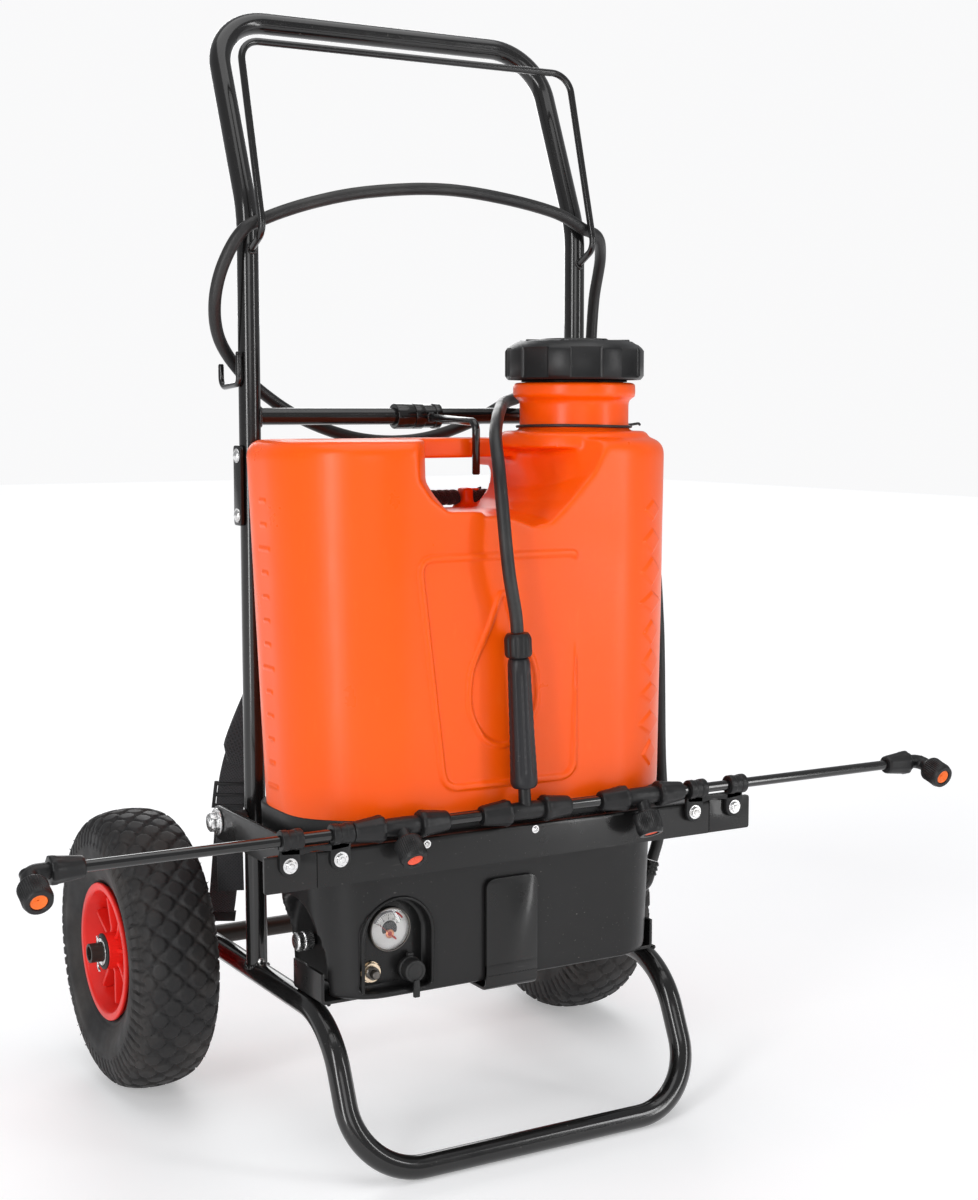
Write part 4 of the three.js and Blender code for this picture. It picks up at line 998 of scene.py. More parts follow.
def rounded_body(half_w, back, front, z0, z1, back_r, front_r, edge, narrow, back_in, levels=24):
    """A rounded box: rounder in front than behind, narrowing downward."""
    quarter = math.pi / 2

    def arc(cx, cy, r, start, n):
        return [(cx + r * math.cos(start + quarter * k / n), cy + r * math.sin(start + quarter * k / n))
                for k in range(n + 1)]

    flat = arc(half_w - front_r, front + front_r, front_r, -quarter, 20)
    flat += arc(half_w - back_r, back - back_r, back_r, 0, 16)
    flat += arc(-half_w + back_r, back - back_r, back_r, quarter, 16)
    flat += arc(-half_w + front_r, front + front_r, front_r, 2 * quarter, 20)
    rounding = [(edge * (1 - math.sin(quarter * k / 6)), edge * (1 - math.cos(quarter * k / 6)))
                for k in range(7)]
    heights = [(amount, z0 + rise) for amount, rise in rounding]
    heights += [(0, z0 + edge + (z1 - z0 - 2 * edge) * k / levels) for k in range(1, levels)]
    heights += [(amount, z1 - rise) for amount, rise in rounding[::-1]]
    verts, rows = [], []
    for amount, z in heights:
        depth = (z1 - z) / (z1 - z0)
        rows.append(len(verts))
        for x, y in (inset(flat, amount) if amount > 1e-6 else flat):
            share = (y - front) / (back - front)
            verts.append((SPRAYER_X + x * (1 - narrow * depth / half_w), y - back_in * depth * share, z))
    return verts, stitched(rows, len(flat))


def lofted(front, back, y0, y1, steps=10):
    """A solid between two outlines of equal count, in XZ planes at y0 and y1."""
    verts, rows = [], []
    for k in range(steps + 1):
        t = k / steps
        ease = 1 - (1 - t) ** 1.8
        rows.append(len(verts))
        for (x0, z0), (x1, z1) in zip(front, back):
            verts.append((x0 + (x1 - x0) * ease, y0 + (y1 - y0) * t, z0 + (z1 - z0) * ease))
    return verts, stitched(rows, len(front))


def extruded_xz(outline, y0, y1):
    return lofted(outline, outline, y0, y1, 1)


SCOOP_FRONT = [(-122, 640), (-117, 578), (-104, 560), (-88, 552), (-40, 551), (-12, 541), (8, 531),
               (26, 535), (50, 558), (78, 586), (100, 612), (112, 640)]
SCOOP_BACK = [(-54, 640), (-54, 571), (-48, 562), (-36, 545), (-20, 545), (0, 545), (16, 545), (30, 546),
              (42, 553), (50, 564), (52, 590), (52, 640)]
GAP = [(-54, 591), (-54, 571), (-36, 545), (30, 545), (42, 552), (50, 563), (52, 574), (52, 591)]


def segment_distance(p, a, b):
    along = b - a
    t = max(0.0, min(1.0, (p - a).dot(along) / along.length_squared))
    return (p - a - along * t).length


def outline_distance(p, outline):
    return min(segment_distance(p, a, b) for a, b in zip(outline, outline[1:] + outline[:1]))


SHIELD = [Vector(p) for p in eased([(-100, 512), (58, 512), (50, 319), (-77, 320)], 15, 6, closed=True)]
DROP = [Vector(p) for p in eased([(-21, 486), (-8, 452), (12, 418), (14, 384), (0, 358), (-20, 350),
                                  (-40, 358), (-54, 384), (-52, 418), (-34, 452)], 12, 5, closed=True)]
# Centre height, half height and half width of each lozenge on the right front corner.
LOZENGES = [(545 - 27 * k, 9 + 1.5 * (k % 3), 5 + 2.2 * ((k * 5) % 4)) for k in range(9)]
SHIELD_LIFT, DROP_LIFT, LOZENGE_LIFT, SCALE_LIFT = 2.1, 2.0, 1.5, 0.9
# The corner's centre and the lozenges' direction from it.
CORNER_X, CORNER_Y, LOZENGE_ANGLE = 98, -97, -62
SCALE_X, SCALE_Y, SCALE_Z, SCALE_STEP = -150, -92, 308, 20   # the level scale's bars on the left


def corner_angle(x, y):
    """Degrees away from the lozenges' middle, round the corner."""
    return abs(math.degrees(math.atan2(y - CORNER_Y, x - CORNER_X)) - LOZENGE_ANGLE)


def relief(point, normal):
    """Raised marks moulded into the tank, in millimetres."""
    x, y, z = point
    lift = 0.0
    if normal.y < -0.75 and y < -165:
        p = Vector((x, z))
        lift = SHIELD_LIFT * smooth_step((3.3 - outline_distance(p, SHIELD)) / 1.3)
        lift = max(lift, DROP_LIFT * smooth_step((2.9 - outline_distance(p, DROP)) / 1.2))
    if x > 92 and y < -100 and 300 < z < 575:
        across = math.radians(corner_angle(x, y)) * TANK_FRONT_R
        for centre, half_high, half_wide in LOZENGES:
            if abs(z - centre) < half_high + 2:
                inside = 1 - abs(z - centre) / half_high - across / (half_wide + 9)
                lift = max(lift, LOZENGE_LIFT * smooth_step(inside * 5 + 0.4))
    if x < SCALE_X and abs(y - SCALE_Y) < 14 and 305 < z < 575:
        off_bar = abs((z - SCALE_Z) % SCALE_STEP - SCALE_STEP / 2)
        half_long = 12 if int((z - SCALE_Z) / SCALE_STEP) % 5 == 0 else 7
        if off_bar < 3:
            bar_end = smooth_step((half_long - abs(y - SCALE_Y)) / 1.5)
            lift = max(lift, SCALE_LIFT * smooth_step(1.8 - off_bar) * bar_end)
    return lift


def near_marks(v):
    """Says where the tank needs a finer mesh, round its raised marks."""
    x, y, z = v.co
    if v.normal.y < -0.72 and y < -165 and 300 < z < 535 and -125 < x < 52:
        p = Vector((x, z))
        return outline_distance(p, SHIELD) < 7 or outline_distance(p, DROP) < 7
    if x > 100 and y < -100 and 305 < z < 560:
        return corner_angle(x, y) < 14
    return x < SCALE_X and abs(y - SCALE_Y) < 16 and 305 < z < 575


def tank():
    body = Shape().put(rounded_body(TANK_HALF_W, TANK_BACK_Y, TANK_FRONT_Y, TANK_BOTTOM_Z, TANK_TOP_Z, 60,
                                    TANK_FRONT_R, 14, 9, 20))
    scoop = Shape().put(lofted(SCOOP_FRONT, SCOOP_BACK, -206, -84))
    through = Shape().put(extruded_xz(GAP, -210, 20))
    pocket = Shape().put(box(-98, -38, 540, 86, 20, 582, 6))
    neck = Shape().put(lathe([(0, 570), (NECK_R, 570), (NECK_R, 642), (54, 643.5), (55, 645), (55, 655),
                              (54, 657), (0, 657)], 64), at(NECK_X, NECK_Y))
    shoulder = Shape().put(lathe([(0, 588), (70, 600), (66, 612.5), (62, 614), (0, 614)], 64),
                           at(NECK_X, NECK_Y))
    posts = [Shape().put(lathe([(0, 536), (4.8, 536), (4.8, 561), (0, 561)], 24), at(x, -22))
             for x in (-58, 46)]
    posts.append(Shape().put(box(28, -34, 538, 38, -18, 562, 1.5)))
    posts.append(Shape().put(box(22, -34, 538, 44, -18, 547, 1.5)))
    mesh = carved(body, [scoop, through, pocket], [neck, shoulder] + posts, 2.2, 6)
    work = bmesh.new()
    work.from_mesh(mesh)
    marked = {v for v in work.verts if near_marks(v)}
    edges = [e for e in work.edges if e.verts[0] in marked and e.verts[1] in marked]
    bmesh.ops.subdivide_edges(work, edges=edges, cuts=1, use_grid_fill=True)
    work.normal_update()
    moves = [(v, v.normal * relief(v.co, v.normal)) for v in work.verts if near_marks(v)]
    for v, move in moves:
        v.co += move
    for v in work.verts:                       # blow moulding leaves the big faces a little wavy
        x, y, z = v.co
        if z < TANK_TOP_Z + 4:
            v.co += v.normal * WAVE_HEIGHT * noise.noise(Vector((x * WAVE_RATE, y * WAVE_RATE,
                                                                 z * WAVE_RATE)))
    work.to_mesh(mesh)
    work.free()
    mesh.materials.append(orange)
    return in_metres(mesh)


keep("tank_moulding", tank(), "cart", ["tank"], 70)


# ---------------------------------------------------------------- tank cap and its tether
CAP_LOBE = 45                                  # degrees from one grip lobe to the next


def tank_cap():
    def knurl(r, z, angle):
        if 662 < z < 687 and r > 58:
            off_lobe = abs(((math.degrees(angle) + CAP_LOBE / 2) % CAP_LOBE) - CAP_LOBE / 2)
            return r + 0.9 if off_lobe <= 9.5 else r - 1.6 + 0.35 * math.cos(angle * 144)
        return r
    outer = [(57, 659.5), (59.5, 659.5), (61.0, 661.0), (61.5, 663), (61.5, 685), (60.6, 687.5),
             (57.5, 690.2), (55, 691.2),
             (52, 693.2), (48, 693.9), (33, 693.9), (31, 694.6), (29.6, 695.9), (26, 696), (12, 695.6),
             (0, 695.4)]
    profile = outer + [(0, 688), (57, 688), (57, 659.5)]
    made = Shape().put(lathe(profile, 288, knurl))
    for k in range(8):
        made.put(box(33, -1.4, 693, 50, 1.4, 694.9, 0.5), about("Z", CAP_LOBE * k))
    return Shape().put(made, at(NECK_X, NECK_Y))


show("tank_cap_moulding", tank_cap(), cap_plastic, "cap", ["tank_cap"], 40)

TETHER_R, TETHER_Z = NECK_R + 2.1, 618.5
tether_line = [(NECK_X + TETHER_R * math.cos(a), NECK_Y + TETHER_R * math.sin(a),
                TETHER_Z + 0.7 * math.sin(2 * a))
               for a in [0.12 + 6.04 * k / 90 for k in range(91)]]
tail = [(NECK_X + NECK_R + 2.5, NECK_Y - 2, 618.8), (NECK_X + NECK_R + 12, NECK_Y - 2.4, 619.4),
        (NECK_X + NECK_R + 21, NECK_Y - 1, 620.4), (NECK_X + NECK_R + 23, NECK_Y, 619.2)]
tether = Shape().put(pipe(tether_line, 1.35, 12, rounded_end=0.6)).put(pipe(bent([(p, 2) for p in tail], 4),
                                                                            1.2, 10, 0.6))
show("cap_tether_cord", tether, cap_rubber, stands_for=["cap_tether"], sharp=60)

# ---------------------------------------------------------------- base
PANEL_X, PANEL_HALF_W, PANEL_TOP_Z, PANEL_BOTTOM_Z = -113, 32, 229, 151
PANEL_Y, PORT_Y = BASE_FRONT_Y - 4 + 14, -92


def arch(half, bottom, top):
    """Outline with straight sides, a flat foot and a half round top."""
    turns = [math.pi * k / 18 for k in range(19)]
    return [(-half, bottom), (half, bottom)] + [(half * math.cos(a), top - half + half * math.sin(a))
                                                for a in turns]


def base_housing():
    skirt = Shape().put(rounded_body(BASE_HALF_W + 6, BASE_BACK_Y + 2, BASE_FRONT_Y - 4,
                                     BASE_BOTTOM_Z + 0.3, 262, 44, 48, 6, 6, 2))
    band = Shape().put(rounded_body(TANK_HALF_W - 10, TANK_BACK_Y - 22, TANK_FRONT_Y + 2, 250, BASE_TOP_Z,
                                    50, 72, 5, 4, 0))
    band.put(rounded_body(TANK_HALF_W - 8.2, TANK_BACK_Y - 19, TANK_FRONT_Y - 0.6, 270, 299, 42, 82, 1.6,
                          0.5, 0, 4))
    recess = [(x + PANEL_X, z) for x, z in arch(PANEL_HALF_W, 130, PANEL_TOP_Z)]
    panel = Shape().put(extruded_xz([(x, max(z, PANEL_BOTTOM_Z)) for x, z in recess], -240, PANEL_Y))
    hatch = Shape().put(box(-78, -146, 130, 68, -58, 148, 1))
    outline = [(y + PORT_Y, z) for y, z in arch(50, 130, 220)]
    port = Shape().put(([(x, y, z) for x in (-199.0, -149.0) for y, z in outline],
                        stitched((0, len(outline)), len(outline))))
    mesh = carved(skirt, [panel, port, hatch], [], 2.4, 4)
    mesh.materials.append(base_plastic)
    return mesh, band


housing, band = base_housing()
keep("base_housing_moulding", in_metres(housing), "cart", ["base_housing"], 60)
show("base_rim_band", band, base_plastic, sharp=50)


def recess_rim():
    """A rolled edge round the panel's recess, open along its bottom."""
    half = PANEL_HALF_W + 0.4
    ordered = [(PANEL_X - half, BASE_FRONT_Y - 2.0, 153)]
    for k in range(25):
        a = math.pi - math.pi * k / 24
        ordered.append((PANEL_X + half * math.cos(a), BASE_FRONT_Y - 2.9,
                        PANEL_TOP_Z - PANEL_HALF_W + half * math.sin(a)))
    ordered.append((PANEL_X + half, BASE_FRONT_Y - 2.0, 153))
    return Shape().put(pipe(ordered, 1.5, 12, rounded_end=0.5))


show("panel_recess_rim", recess_rim(), panel_plastic, sharp=60)
panel_face = prism(eased([(x, z) for x, z in arch(PANEL_HALF_W - 1.2, PANEL_BOTTOM_Z + 1.5,
                                                  PANEL_TOP_Z - 1.2)], 0.8, 2, True), 1.2, 0.4)
show("panel_face_plate", Shape().put(panel_face, at(PANEL_X, PANEL_Y + 1.0, 0, TO_FRONT)), panel_plastic)
cover_shape = Shape().put(box(-77.7, -145.7, 144.6, 67.7, -58.3, 148, 0.8))
for x in (-66, 56):
    for y in (-134, -70):
        cover_shape.put(dome_screw(4.2), at(x, y, 144.8, about("X", 180)))
for k in range(7):
    cover_shape.put(box(-50 + k * 14, -125, 143.9, -44 + k * 14, -80, 145, 0.3))
show("base_cover_plate", cover_shape, base_plastic, stands_for=["base_cover"])

# ---------------------------------------------------------------- regulator, hose outlet
KNOB_Z, KNOB_Y, OUTLET_Y, OUTLET_Z = 178, -84, -106, 187


def knurled(radius, teeth, depth, z0, z1):
    """A wave of sharp teeth round the part of a turned shape that lies between two heights."""
    def wave(r, z, angle):
        tooth = abs(((angle * teeth / (2 * math.pi)) % 1) - 0.5) * 2 - 0.5
        return r + depth * tooth if z0 < z < z1 and r > radius - 1 else r
    return wave


knob_profile = eased([(0, 0), (6.2, 0), (8.1, 1.2), (8.1, 8.5), (7.2, 9.2), (7.2, 10), (8.1, 10.8),
                      (8.1, 14.6), (6.8, 16), (0, 16)],
                     0.5, 2)
knob = Shape().put(lathe(knob_profile, 180, knurled(8.1, 36, 0.5, 1.0, 14.9)),
                   at(-152, KNOB_Y, KNOB_Z, TO_LEFT))
show("regulator_knob_metal", knob, zinc, "regulator", ["regulator_knob"], 42)


def outlet():
    start, up = Vector(HOSE_ROUTE[0]), (Vector(HOSE_ROUTE[1]) - Vector(HOSE_ROUTE[0])).normalized()
    corner = start - up * ((start.z - OUTLET_Z) / up.z)
    corner.y = OUTLET_Y
    made = Shape().put(pipe(bent([((142, OUTLET_Y, OUTLET_Z), 0), (tuple(corner), 10),
                                  (tuple(start - up * 2), 0)], 12), 6.8, 28))
    made.put(lathe(eased([(0, 163.5), (11.5, 163.5), (11.5, 167), (0, 167)], 0.7), 36),
             at(0, OUTLET_Y, OUTLET_Z, TO_X))
    made.put(nut(8.6, 7), at(167, OUTLET_Y, OUTLET_Z, TO_X))
    turn = up.to_track_quat("Z", "Y").to_matrix().to_4x4()
    for k in range(3):
        spot = start - up * (2.5 + k * 4.5)
        made.put(lathe([(6.2, -1.8), (7.4, -1.6), (7.8, -0.6), (6.4, 2.2), (6.2, -1.8)], 32),
                 at(*spot) @ turn)
    return made


show("outlet_elbow_fitting", outlet(), elbow_plastic, stands_for=["outlet_elbow"], sharp=45)

# ---------------------------------------------------------------- gauge, switch and charging socket
GAUGE, SWITCH, SOCKET = (-116, 201), (-133, 166), (-98, 165)


def on_panel(spot, out=0.0, up=0.0):
    """Frame on the panel: X right, Y up, Z forward out of it."""
    return at(spot[0], PANEL_Y - out, spot[1] + up, TO_FRONT)


SCALE_START, SCALE_END, RED_START = -66, 58, 26   # degrees clockwise from up
DIAL_FACE, NEEDLE_REST, PIVOT_DROP = 2.0, 48, -4.0
METAL, WHITE, GREY, BLACK_INK, RED = range(5)   # the dial piece's materials, in the order they are given
dial = Shape().put(lathe([(0, -15), (16, -15), (16, 0.3), (18.4, 0.3), (19, 1.0), (19, 4.4), (18.5, 5.2),
                          (17.9, 5.2),
                          (17.5, 4.6), (17.5, DIAL_FACE), (0, DIAL_FACE)], 96), on_panel(GAUGE), METAL)


def sector(r0, r1, a0, a1, steps=24):
    """Flat band of a circle from one angle to another, clockwise from up."""
    there = [math.radians(a0 + (a1 - a0) * k / steps) for k in range(steps + 1)]
    back = [math.radians(a1 - (a1 - a0) * k / steps) for k in range(steps + 1)]
    return [(r1 * math.sin(a), r1 * math.cos(a)) for a in there] + [(r0 * math.sin(a), r0 * math.cos(a))
                                                                    for a in back]


def mark(outline, height, material):
    """Prints a thin mark on the dial."""
    dial.put(prism(outline, 0.14, 0.04), on_panel(GAUGE, DIAL_FACE + height), material)


dial.put(lathe([(0, 2.02), (17.4, 2.02), (17.4, 2.12), (0, 2.14)], 96), on_panel(GAUGE), WHITE)
mark(sector(13.6, 15.0, SCALE_START, RED_START), 0.12, GREY)
mark(sector(13.6, 15.0, RED_START, SCALE_END), 0.12, RED)
for k in range(17):
    angle = SCALE_START + (SCALE_END - SCALE_START) * k / 16
    r0 = 10.6 if k % 4 == 0 else 11.9
    mark(sector(r0, 13.0, angle - 0.9, angle + 0.9, 2), 0.13, BLACK_INK)
for k, angle in enumerate((-66, -35, -4, 27, 58)):   # stand-ins for the dial's figures
    x, y = 8.8 * math.sin(math.radians(angle)), 8.8 * math.cos(math.radians(angle))
    for dx in ((0.0,) if k < 3 else (-0.6, 0.6)):
        mark([(x + dx + u, y + v) for u, v in ((-0.25, -0.9), (0.25, -0.9), (0.25, 0.9), (-0.25, 0.9))],
             0.12, BLACK_INK)
mark([(x, max(y, -3.4)) for x, y in sector(0.01, 7.0, -120, 120, 30)][:31] + [(6, -3.5), (-6, -3.5)], 0.15,
     BLACK_INK)
movement = Shape().put(lathe(eased([(0, 0), (3.4, 0), (3.4, 1.2), (0, 1.2)], 0.3), 36),
                       on_panel(GAUGE, 2.2, PIVOT_DROP) @ at(0, 0, -0.2))
for k in range(6):
    movement.put(lathe([(1.2 + k * 0.45, 1.1), (1.4 + k * 0.45, 1.3), (1.6 + k * 0.45, 1.1)], 36),
                 on_panel(GAUGE, 2.0, PIVOT_DROP))
show("gauge_case_dial", dial, [dark_steel, dial_white, dial_grey, dial_black, needle_red],
     stands_for=["gauge_case"], sharp=35)
show("gauge_movement", movement, copper, sharp=40)

blade = [(-0.55, -8), (0.55, -8), (0.9, -5), (0.32, 0), (0.1, 14.4), (-0.1, 14.4), (-0.32, 0), (-0.9, -5)]
needle = Shape().put(prism(blade, 0.5, 0.12), on_panel(GAUGE, 2.9, PIVOT_DROP) @ about("Z", NEEDLE_REST))
needle.put(lathe(eased([(0, 0), (2.0, 0), (2.0, 0.9), (0, 1.2)], 0.3), 32),
           on_panel(GAUGE, 2.5, PIVOT_DROP))
show("gauge_needle_blade", needle, needle_red, "needle", ["gauge_needle"], 40)

dome = [(17.2, 3.6), (17.2, 4.5), (16.0, 5.6), (13.0, 7.0), (8, 8.2), (0, 8.6), (0, 7.6), (8, 7.2),
        (13.0, 6.0), (16.0, 4.6), (17.2, 3.6)]
show("gauge_lens_dome", Shape().put(lathe(dome, 96), on_panel(GAUGE)), lens_clear,
     stands_for=["gauge_lens"], sharp=60)

switch = Shape().put(nut(8.2, 3.2), on_panel(SWITCH) @ at(0, 0, 0.6), 1)
switch.put(lathe([(0, 0.3), (8.7, 0.3), (9.0, 0.6), (9.0, 0.9), (0, 0.9)], 48), on_panel(SWITCH), 1)
thread = [(5.4 - (0.3 if k % 2 else 0), 3.8 + k * 0.35) for k in range(12)]
switch.put(lathe([(4.1, 3.0), (5.4, 3.0)] + thread + [(4.9, 8.0), (4.1, 8.0), (4.1, 3.0)], 48),
           on_panel(SWITCH), 0)
show("switch_body_metal", switch, [dark_steel, brass], stands_for=["switch_body"], sharp=35)
button_profile = eased([(0, 6.1), (3.7, 6.1), (3.7, 11.6), (3.0, 12.8), (0, 13.0)], 0.5, 3)
button = Shape().put(lathe(button_profile, 96, knurled(3.7, 24, 0.25, 8.4, 11.8)), on_panel(SWITCH))
for k in (-1, 0, 1):
    button.put(box(-2.2, k * 1.3 - 0.3, 12.7, 2.2, k * 1.3 + 0.3, 13.1, 0.12), on_panel(SWITCH))
show("switch_button_tip", button, dark_steel, "button", ["switch_button"], 40)

socket = Shape().put(lathe(eased([(0, -14), (6.2, -14), (6.2, 0.3), (9.6, 0.3), (9.6, 2.6), (5.2, 2.6),
                                  (5.2, 1.0), (0, 1.0)], 0.4), 48),
                     on_panel(SOCKET))
show("charge_socket_flange", socket, cap_rubber, stands_for=["charge_socket"], sharp=40)
flap = Shape().put(lathe(eased([(0, 3.4), (10.6, 3.4), (10.6, 5.9), (9.5, 6.3), (9.5, 15.2), (8.4, 16),
                                (0, 15.8)], 0.7, 3), 64), on_panel(SOCKET))
flap.put(lathe(eased([(6.4, 15.6), (6.4, 16.3), (7.2, 16.3), (7.2, 15.6)], 0.2, 2), 48), on_panel(SOCKET))
tab_outline = eased([(-2.5, -6), (2.5, -6), (2.9, -12), (2.9, -21), (-2.9, -21), (-2.9, -12)], 1.4, 5,
                    closed=True)
flap.put(prism(tab_outline, 2.8, 0.7), on_panel(SOCKET) @ at(0, -1, 15.2))
hinge_outline = eased([(-2.5, 6), (2.5, 6), (2.5, 13.4), (-2.5, 13.4)], 0.8, 3, closed=True)
flap.put(prism(hinge_outline, 2.6, 0.5), on_panel(SOCKET) @ at(0, 0, 3.4))
flap.put(lathe([(0, -2.6), (1.9, -2.6), (1.9, 2.6), (0, 2.6)], 20),
         at(SOCKET[0], PANEL_Y - 4.6, SOCKET[1] + 12, TO_X))
show("socket_cap_rubber", flap, cap_rubber, "socket_flap", ["socket_cap"], 42)

# ---------------------------------------------------------------- arms, front plate and bolts
ARM_X, ARM_T, EAR_W, PLATE_Y, ARM_LOW, ARM_HIGH, BOLT_Z = 195, 4, 41, -198, 255, 285, 271


def arm(side):
    x = SPRAYER_X + side * ARM_X
    half_high = (ARM_HIGH - ARM_LOW) / 2
    rounded = [(half_high * math.sin(math.pi * k / 16), 270 + half_high * math.cos(math.pi * k / 16))
               for k in range(17)]
    outline = [(PLATE_Y + 2, ARM_LOW), (PLATE_Y + 2, ARM_HIGH)] + rounded
    made = Shape().put(prism(outline, ARM_T, 0.6), at(x - ARM_T / 2, 0, 0, TO_X))
    left, right = sorted((x - side * ARM_T / 2, x + side * (ARM_T / 2 + EAR_W)))
    ear = [(left, ARM_LOW), (right, ARM_LOW), (right, ARM_HIGH), (left, ARM_HIGH)]
    ear = eased(ear, lambda i: 2.5 if (i in (1, 2)) == (side > 0) else 0.4, 4, closed=True)
    made.put(prism(ear, ARM_T, 0.5), at(0, PLATE_Y + ARM_T, 0, TO_FRONT))
    return made


def arm_bolt(side):
    turn = about("Z", 0 if side > 0 else 180)
    spot = at(0, 0, BOLT_Z, turn @ TO_X)
    arm_x = abs(SPRAYER_X + side * ARM_X)
    out = arm_x + ARM_T / 2 + 0.3
    made = Shape()
    made.put(lathe(eased([(0, 150), (5, 150), (5, out + 8.6), (4.2, out + 9.6), (0, out + 9.8)], 0.4), 40),
             spot)
    made.put(lathe(eased([(5, out), (12, out), (12, out + 2), (5, out + 2)], 0.5), 64), spot)
    made.put(nut(7.6, 6.4), spot @ at(0, 0, out + 2))
    made.put(nut(7.6, 6.7), spot @ at(0, 0, 151.5))
    return made


def spacer(side):
    arm_x = abs(SPRAYER_X + side * ARM_X)
    spot = at(0, 0, BOLT_Z, about("Z", 0 if side > 0 else 180) @ TO_X)
    return Shape().put(lathe(eased([(5.2, FRAME_X + 9.8), (8, FRAME_X + 9.8), (8, arm_x - 2.3),
                                    (5.2, arm_x - 2.3)], 0.4), 40), spot)


for word, side in SIDES:
    show(f"arm_{word}_bar", arm(side), sheet_paint, stands_for=[f"arm_{word}"])
    show(f"arm_bolt_{word}_set", arm_bolt(side), zinc, stands_for=[f"arm_bolt_{word}"],
         sharp=35)
    show(f"arm_spacer_{word}", spacer(side), cap_rubber, sharp=40)


def front_plate():
    half = ARM_X - ARM_T / 2 - 0.3
    section = sheet_line([(PLATE_Y, ARM_LOW), (PLATE_Y, ARM_HIGH), (TANK_FRONT_Y + 0.6, ARM_HIGH)], -3, 4)
    return Shape().put(prism(section, 2 * half, 0.4), at(SPRAYER_X - half, 0, 0, TO_X))


show("front_plate_sheet", front_plate(), sheet_paint, stands_for=["front_plate"])

plate_screws = Shape()
for x, z in ((-100, 279), (4, 279.5), (112, 279)):
    plate_screws.put(dome_screw(2.6), at(x, PLATE_Y + 0.2, z, TO_FRONT))
    plate_screws.put(lathe([(0, 0), (3.4, 0), (3.4, 0.5), (0, 0.6)], 24), at(x, PLATE_Y + 0.1, z, TO_FRONT))
show("front_plate_screws", plate_screws, zinc)

# ---------------------------------------------------------------- boom
BOOM_Y, BOOM_Z, BOOM_R, CENTRE_X, TEE_OFFSET, ELBOW_X = -203, 298, 4.5, -9, 118, 433
TAPER_START, TAPER_END = 17, 43


def tapered(side):
    """Compression nut: a grip ring and a long taper with shallow flutes that run out."""
    def flute(r, z, angle):
        share = (abs(z) - TAPER_START) / (TAPER_END - TAPER_START)
        ribs = 0.35 * math.cos(angle * 10)
        return r + ribs * (1 - share) if r > 7 else r
    profile = [(4.7, 16.5), (9.6, 16.5), (10.6, TAPER_START), (11.0, 18), (11.0, 21.2), (10.5, 22.4),
               (9.6, 31), (8.6, 40), (8.2, 42.2), (7.4, TAPER_END), (4.7, TAPER_END)]
    made = lathe(profile + profile[:1], 60, flute)
    return made if side > 0 else ([(-x, y, -z) for x, y, z in made[0]], made[1])


def tee_barrel(turn):
    """Middle of a tee on the boom, with a compression nut at each end."""
    barrel = Shape().put(lathe(eased([(0, -18), (7, -18), (7.6, -8), (7.6, 8), (7, 18), (0, 18)], 1.0), 40),
                         turn)
    return barrel.put(tapered(1), turn).put(tapered(-1), turn)


def nozzle_spigot():
    return lathe([(0, 0), (5.5, 0), (5.5, 13.6), (8.0, 14.2), (8.0, 29), (6.6, 29.6), (0, 29.6)], 40)


def tip_ring():
    """The disc that shows in the nozzle's mouth, with a dish and a pinhole."""
    return lathe([(0, 29.2), (0.5, 29.3), (0.55, 31.6), (1.8, 32.2), (4.8, 33.4), (5.4, 33.8), (6.3, 33.9),
                  (6.5, 33.2), (6.5, 29.2), (0, 29.2)], 48)


def nozzle_cap():
    def ribs(r, z, angle):
        return r + 0.32 * math.cos(angle * 40) if 16.5 < z < 31.5 and r > 11 else r
    profile = [(8.3, 15), (10.9, 15.2), (11.5, 16.2), (11.5, 17), (11.3, 24), (11.5, 31), (11.2, 32),
               (10.6, 34.4), (10, 35), (7.2, 35), (6.7, 34.4), (6.6, 30), (8.3, 30), (8.3, 15)]
    return lathe(profile, 160, ribs)


def boom_body(word, x, dip):
    turn = at(x, BOOM_Y, BOOM_Z, about("X", dip))
    forward = turn @ TO_FRONT
    if word.startswith("end"):
        side = -1 if word.endswith("left") else 1
        line = bent([((-side * 18, 0, 0), 0), ((0, 0, 0), 9), ((0, -13, 0), 0)], 12)
        made = Shape().put(pipe(line, 6.5, 32), turn).put(tapered(-side), turn @ TO_X)
    else:
        made = tee_barrel(turn @ TO_X)
    made.put(nozzle_spigot(), forward)
    return made, Shape().put(nozzle_cap(), forward), Shape().put(tip_ring(), forward)


for word, x, dip, colour in (("end_left", -ELBOW_X, 25, tip_orange),
                             ("inner_left", CENTRE_X - TEE_OFFSET, 42, tip_red),
                             ("inner_right", CENTRE_X + TEE_OFFSET, 62, tip_red),
                             ("end_right", ELBOW_X, 18, tip_orange)):
    body_shape, cap_shape, tip_shape = boom_body(word, x, dip)
    body = f"nozzle_{word}"
    show(f"nozzle_body_{word}_fitting", body_shape, fitting_plastic, body, [f"nozzle_body_{word}"],
         42)
    show(f"nozzle_cap_{word}_ring", cap_shape, fitting_plastic, body, [f"nozzle_cap_{word}"],
         42)
    show(f"nozzle_tip_{word}", tip_shape, colour, body, sharp=40)

spots = [-ELBOW_X, CENTRE_X - TEE_OFFSET, CENTRE_X, CENTRE_X + TEE_OFFSET, ELBOW_X]
for word, x0, x1 in zip(("outer_left", "middle_left", "middle_right", "outer_right"), spots, spots[1:]):
    line = [(x0 + 9 + (x1 - x0 - 18) * k / 24, BOOM_Y, BOOM_Z) for k in range(25)]
    show(f"boom_tube_{word}_pipe", Shape().put(pipe(line, BOOM_R, 32)), boom_paint,
         stands_for=[f"boom_tube_{word}"])


CLIP_BOLT_Z, CLIP_SPREAD = 277, 22


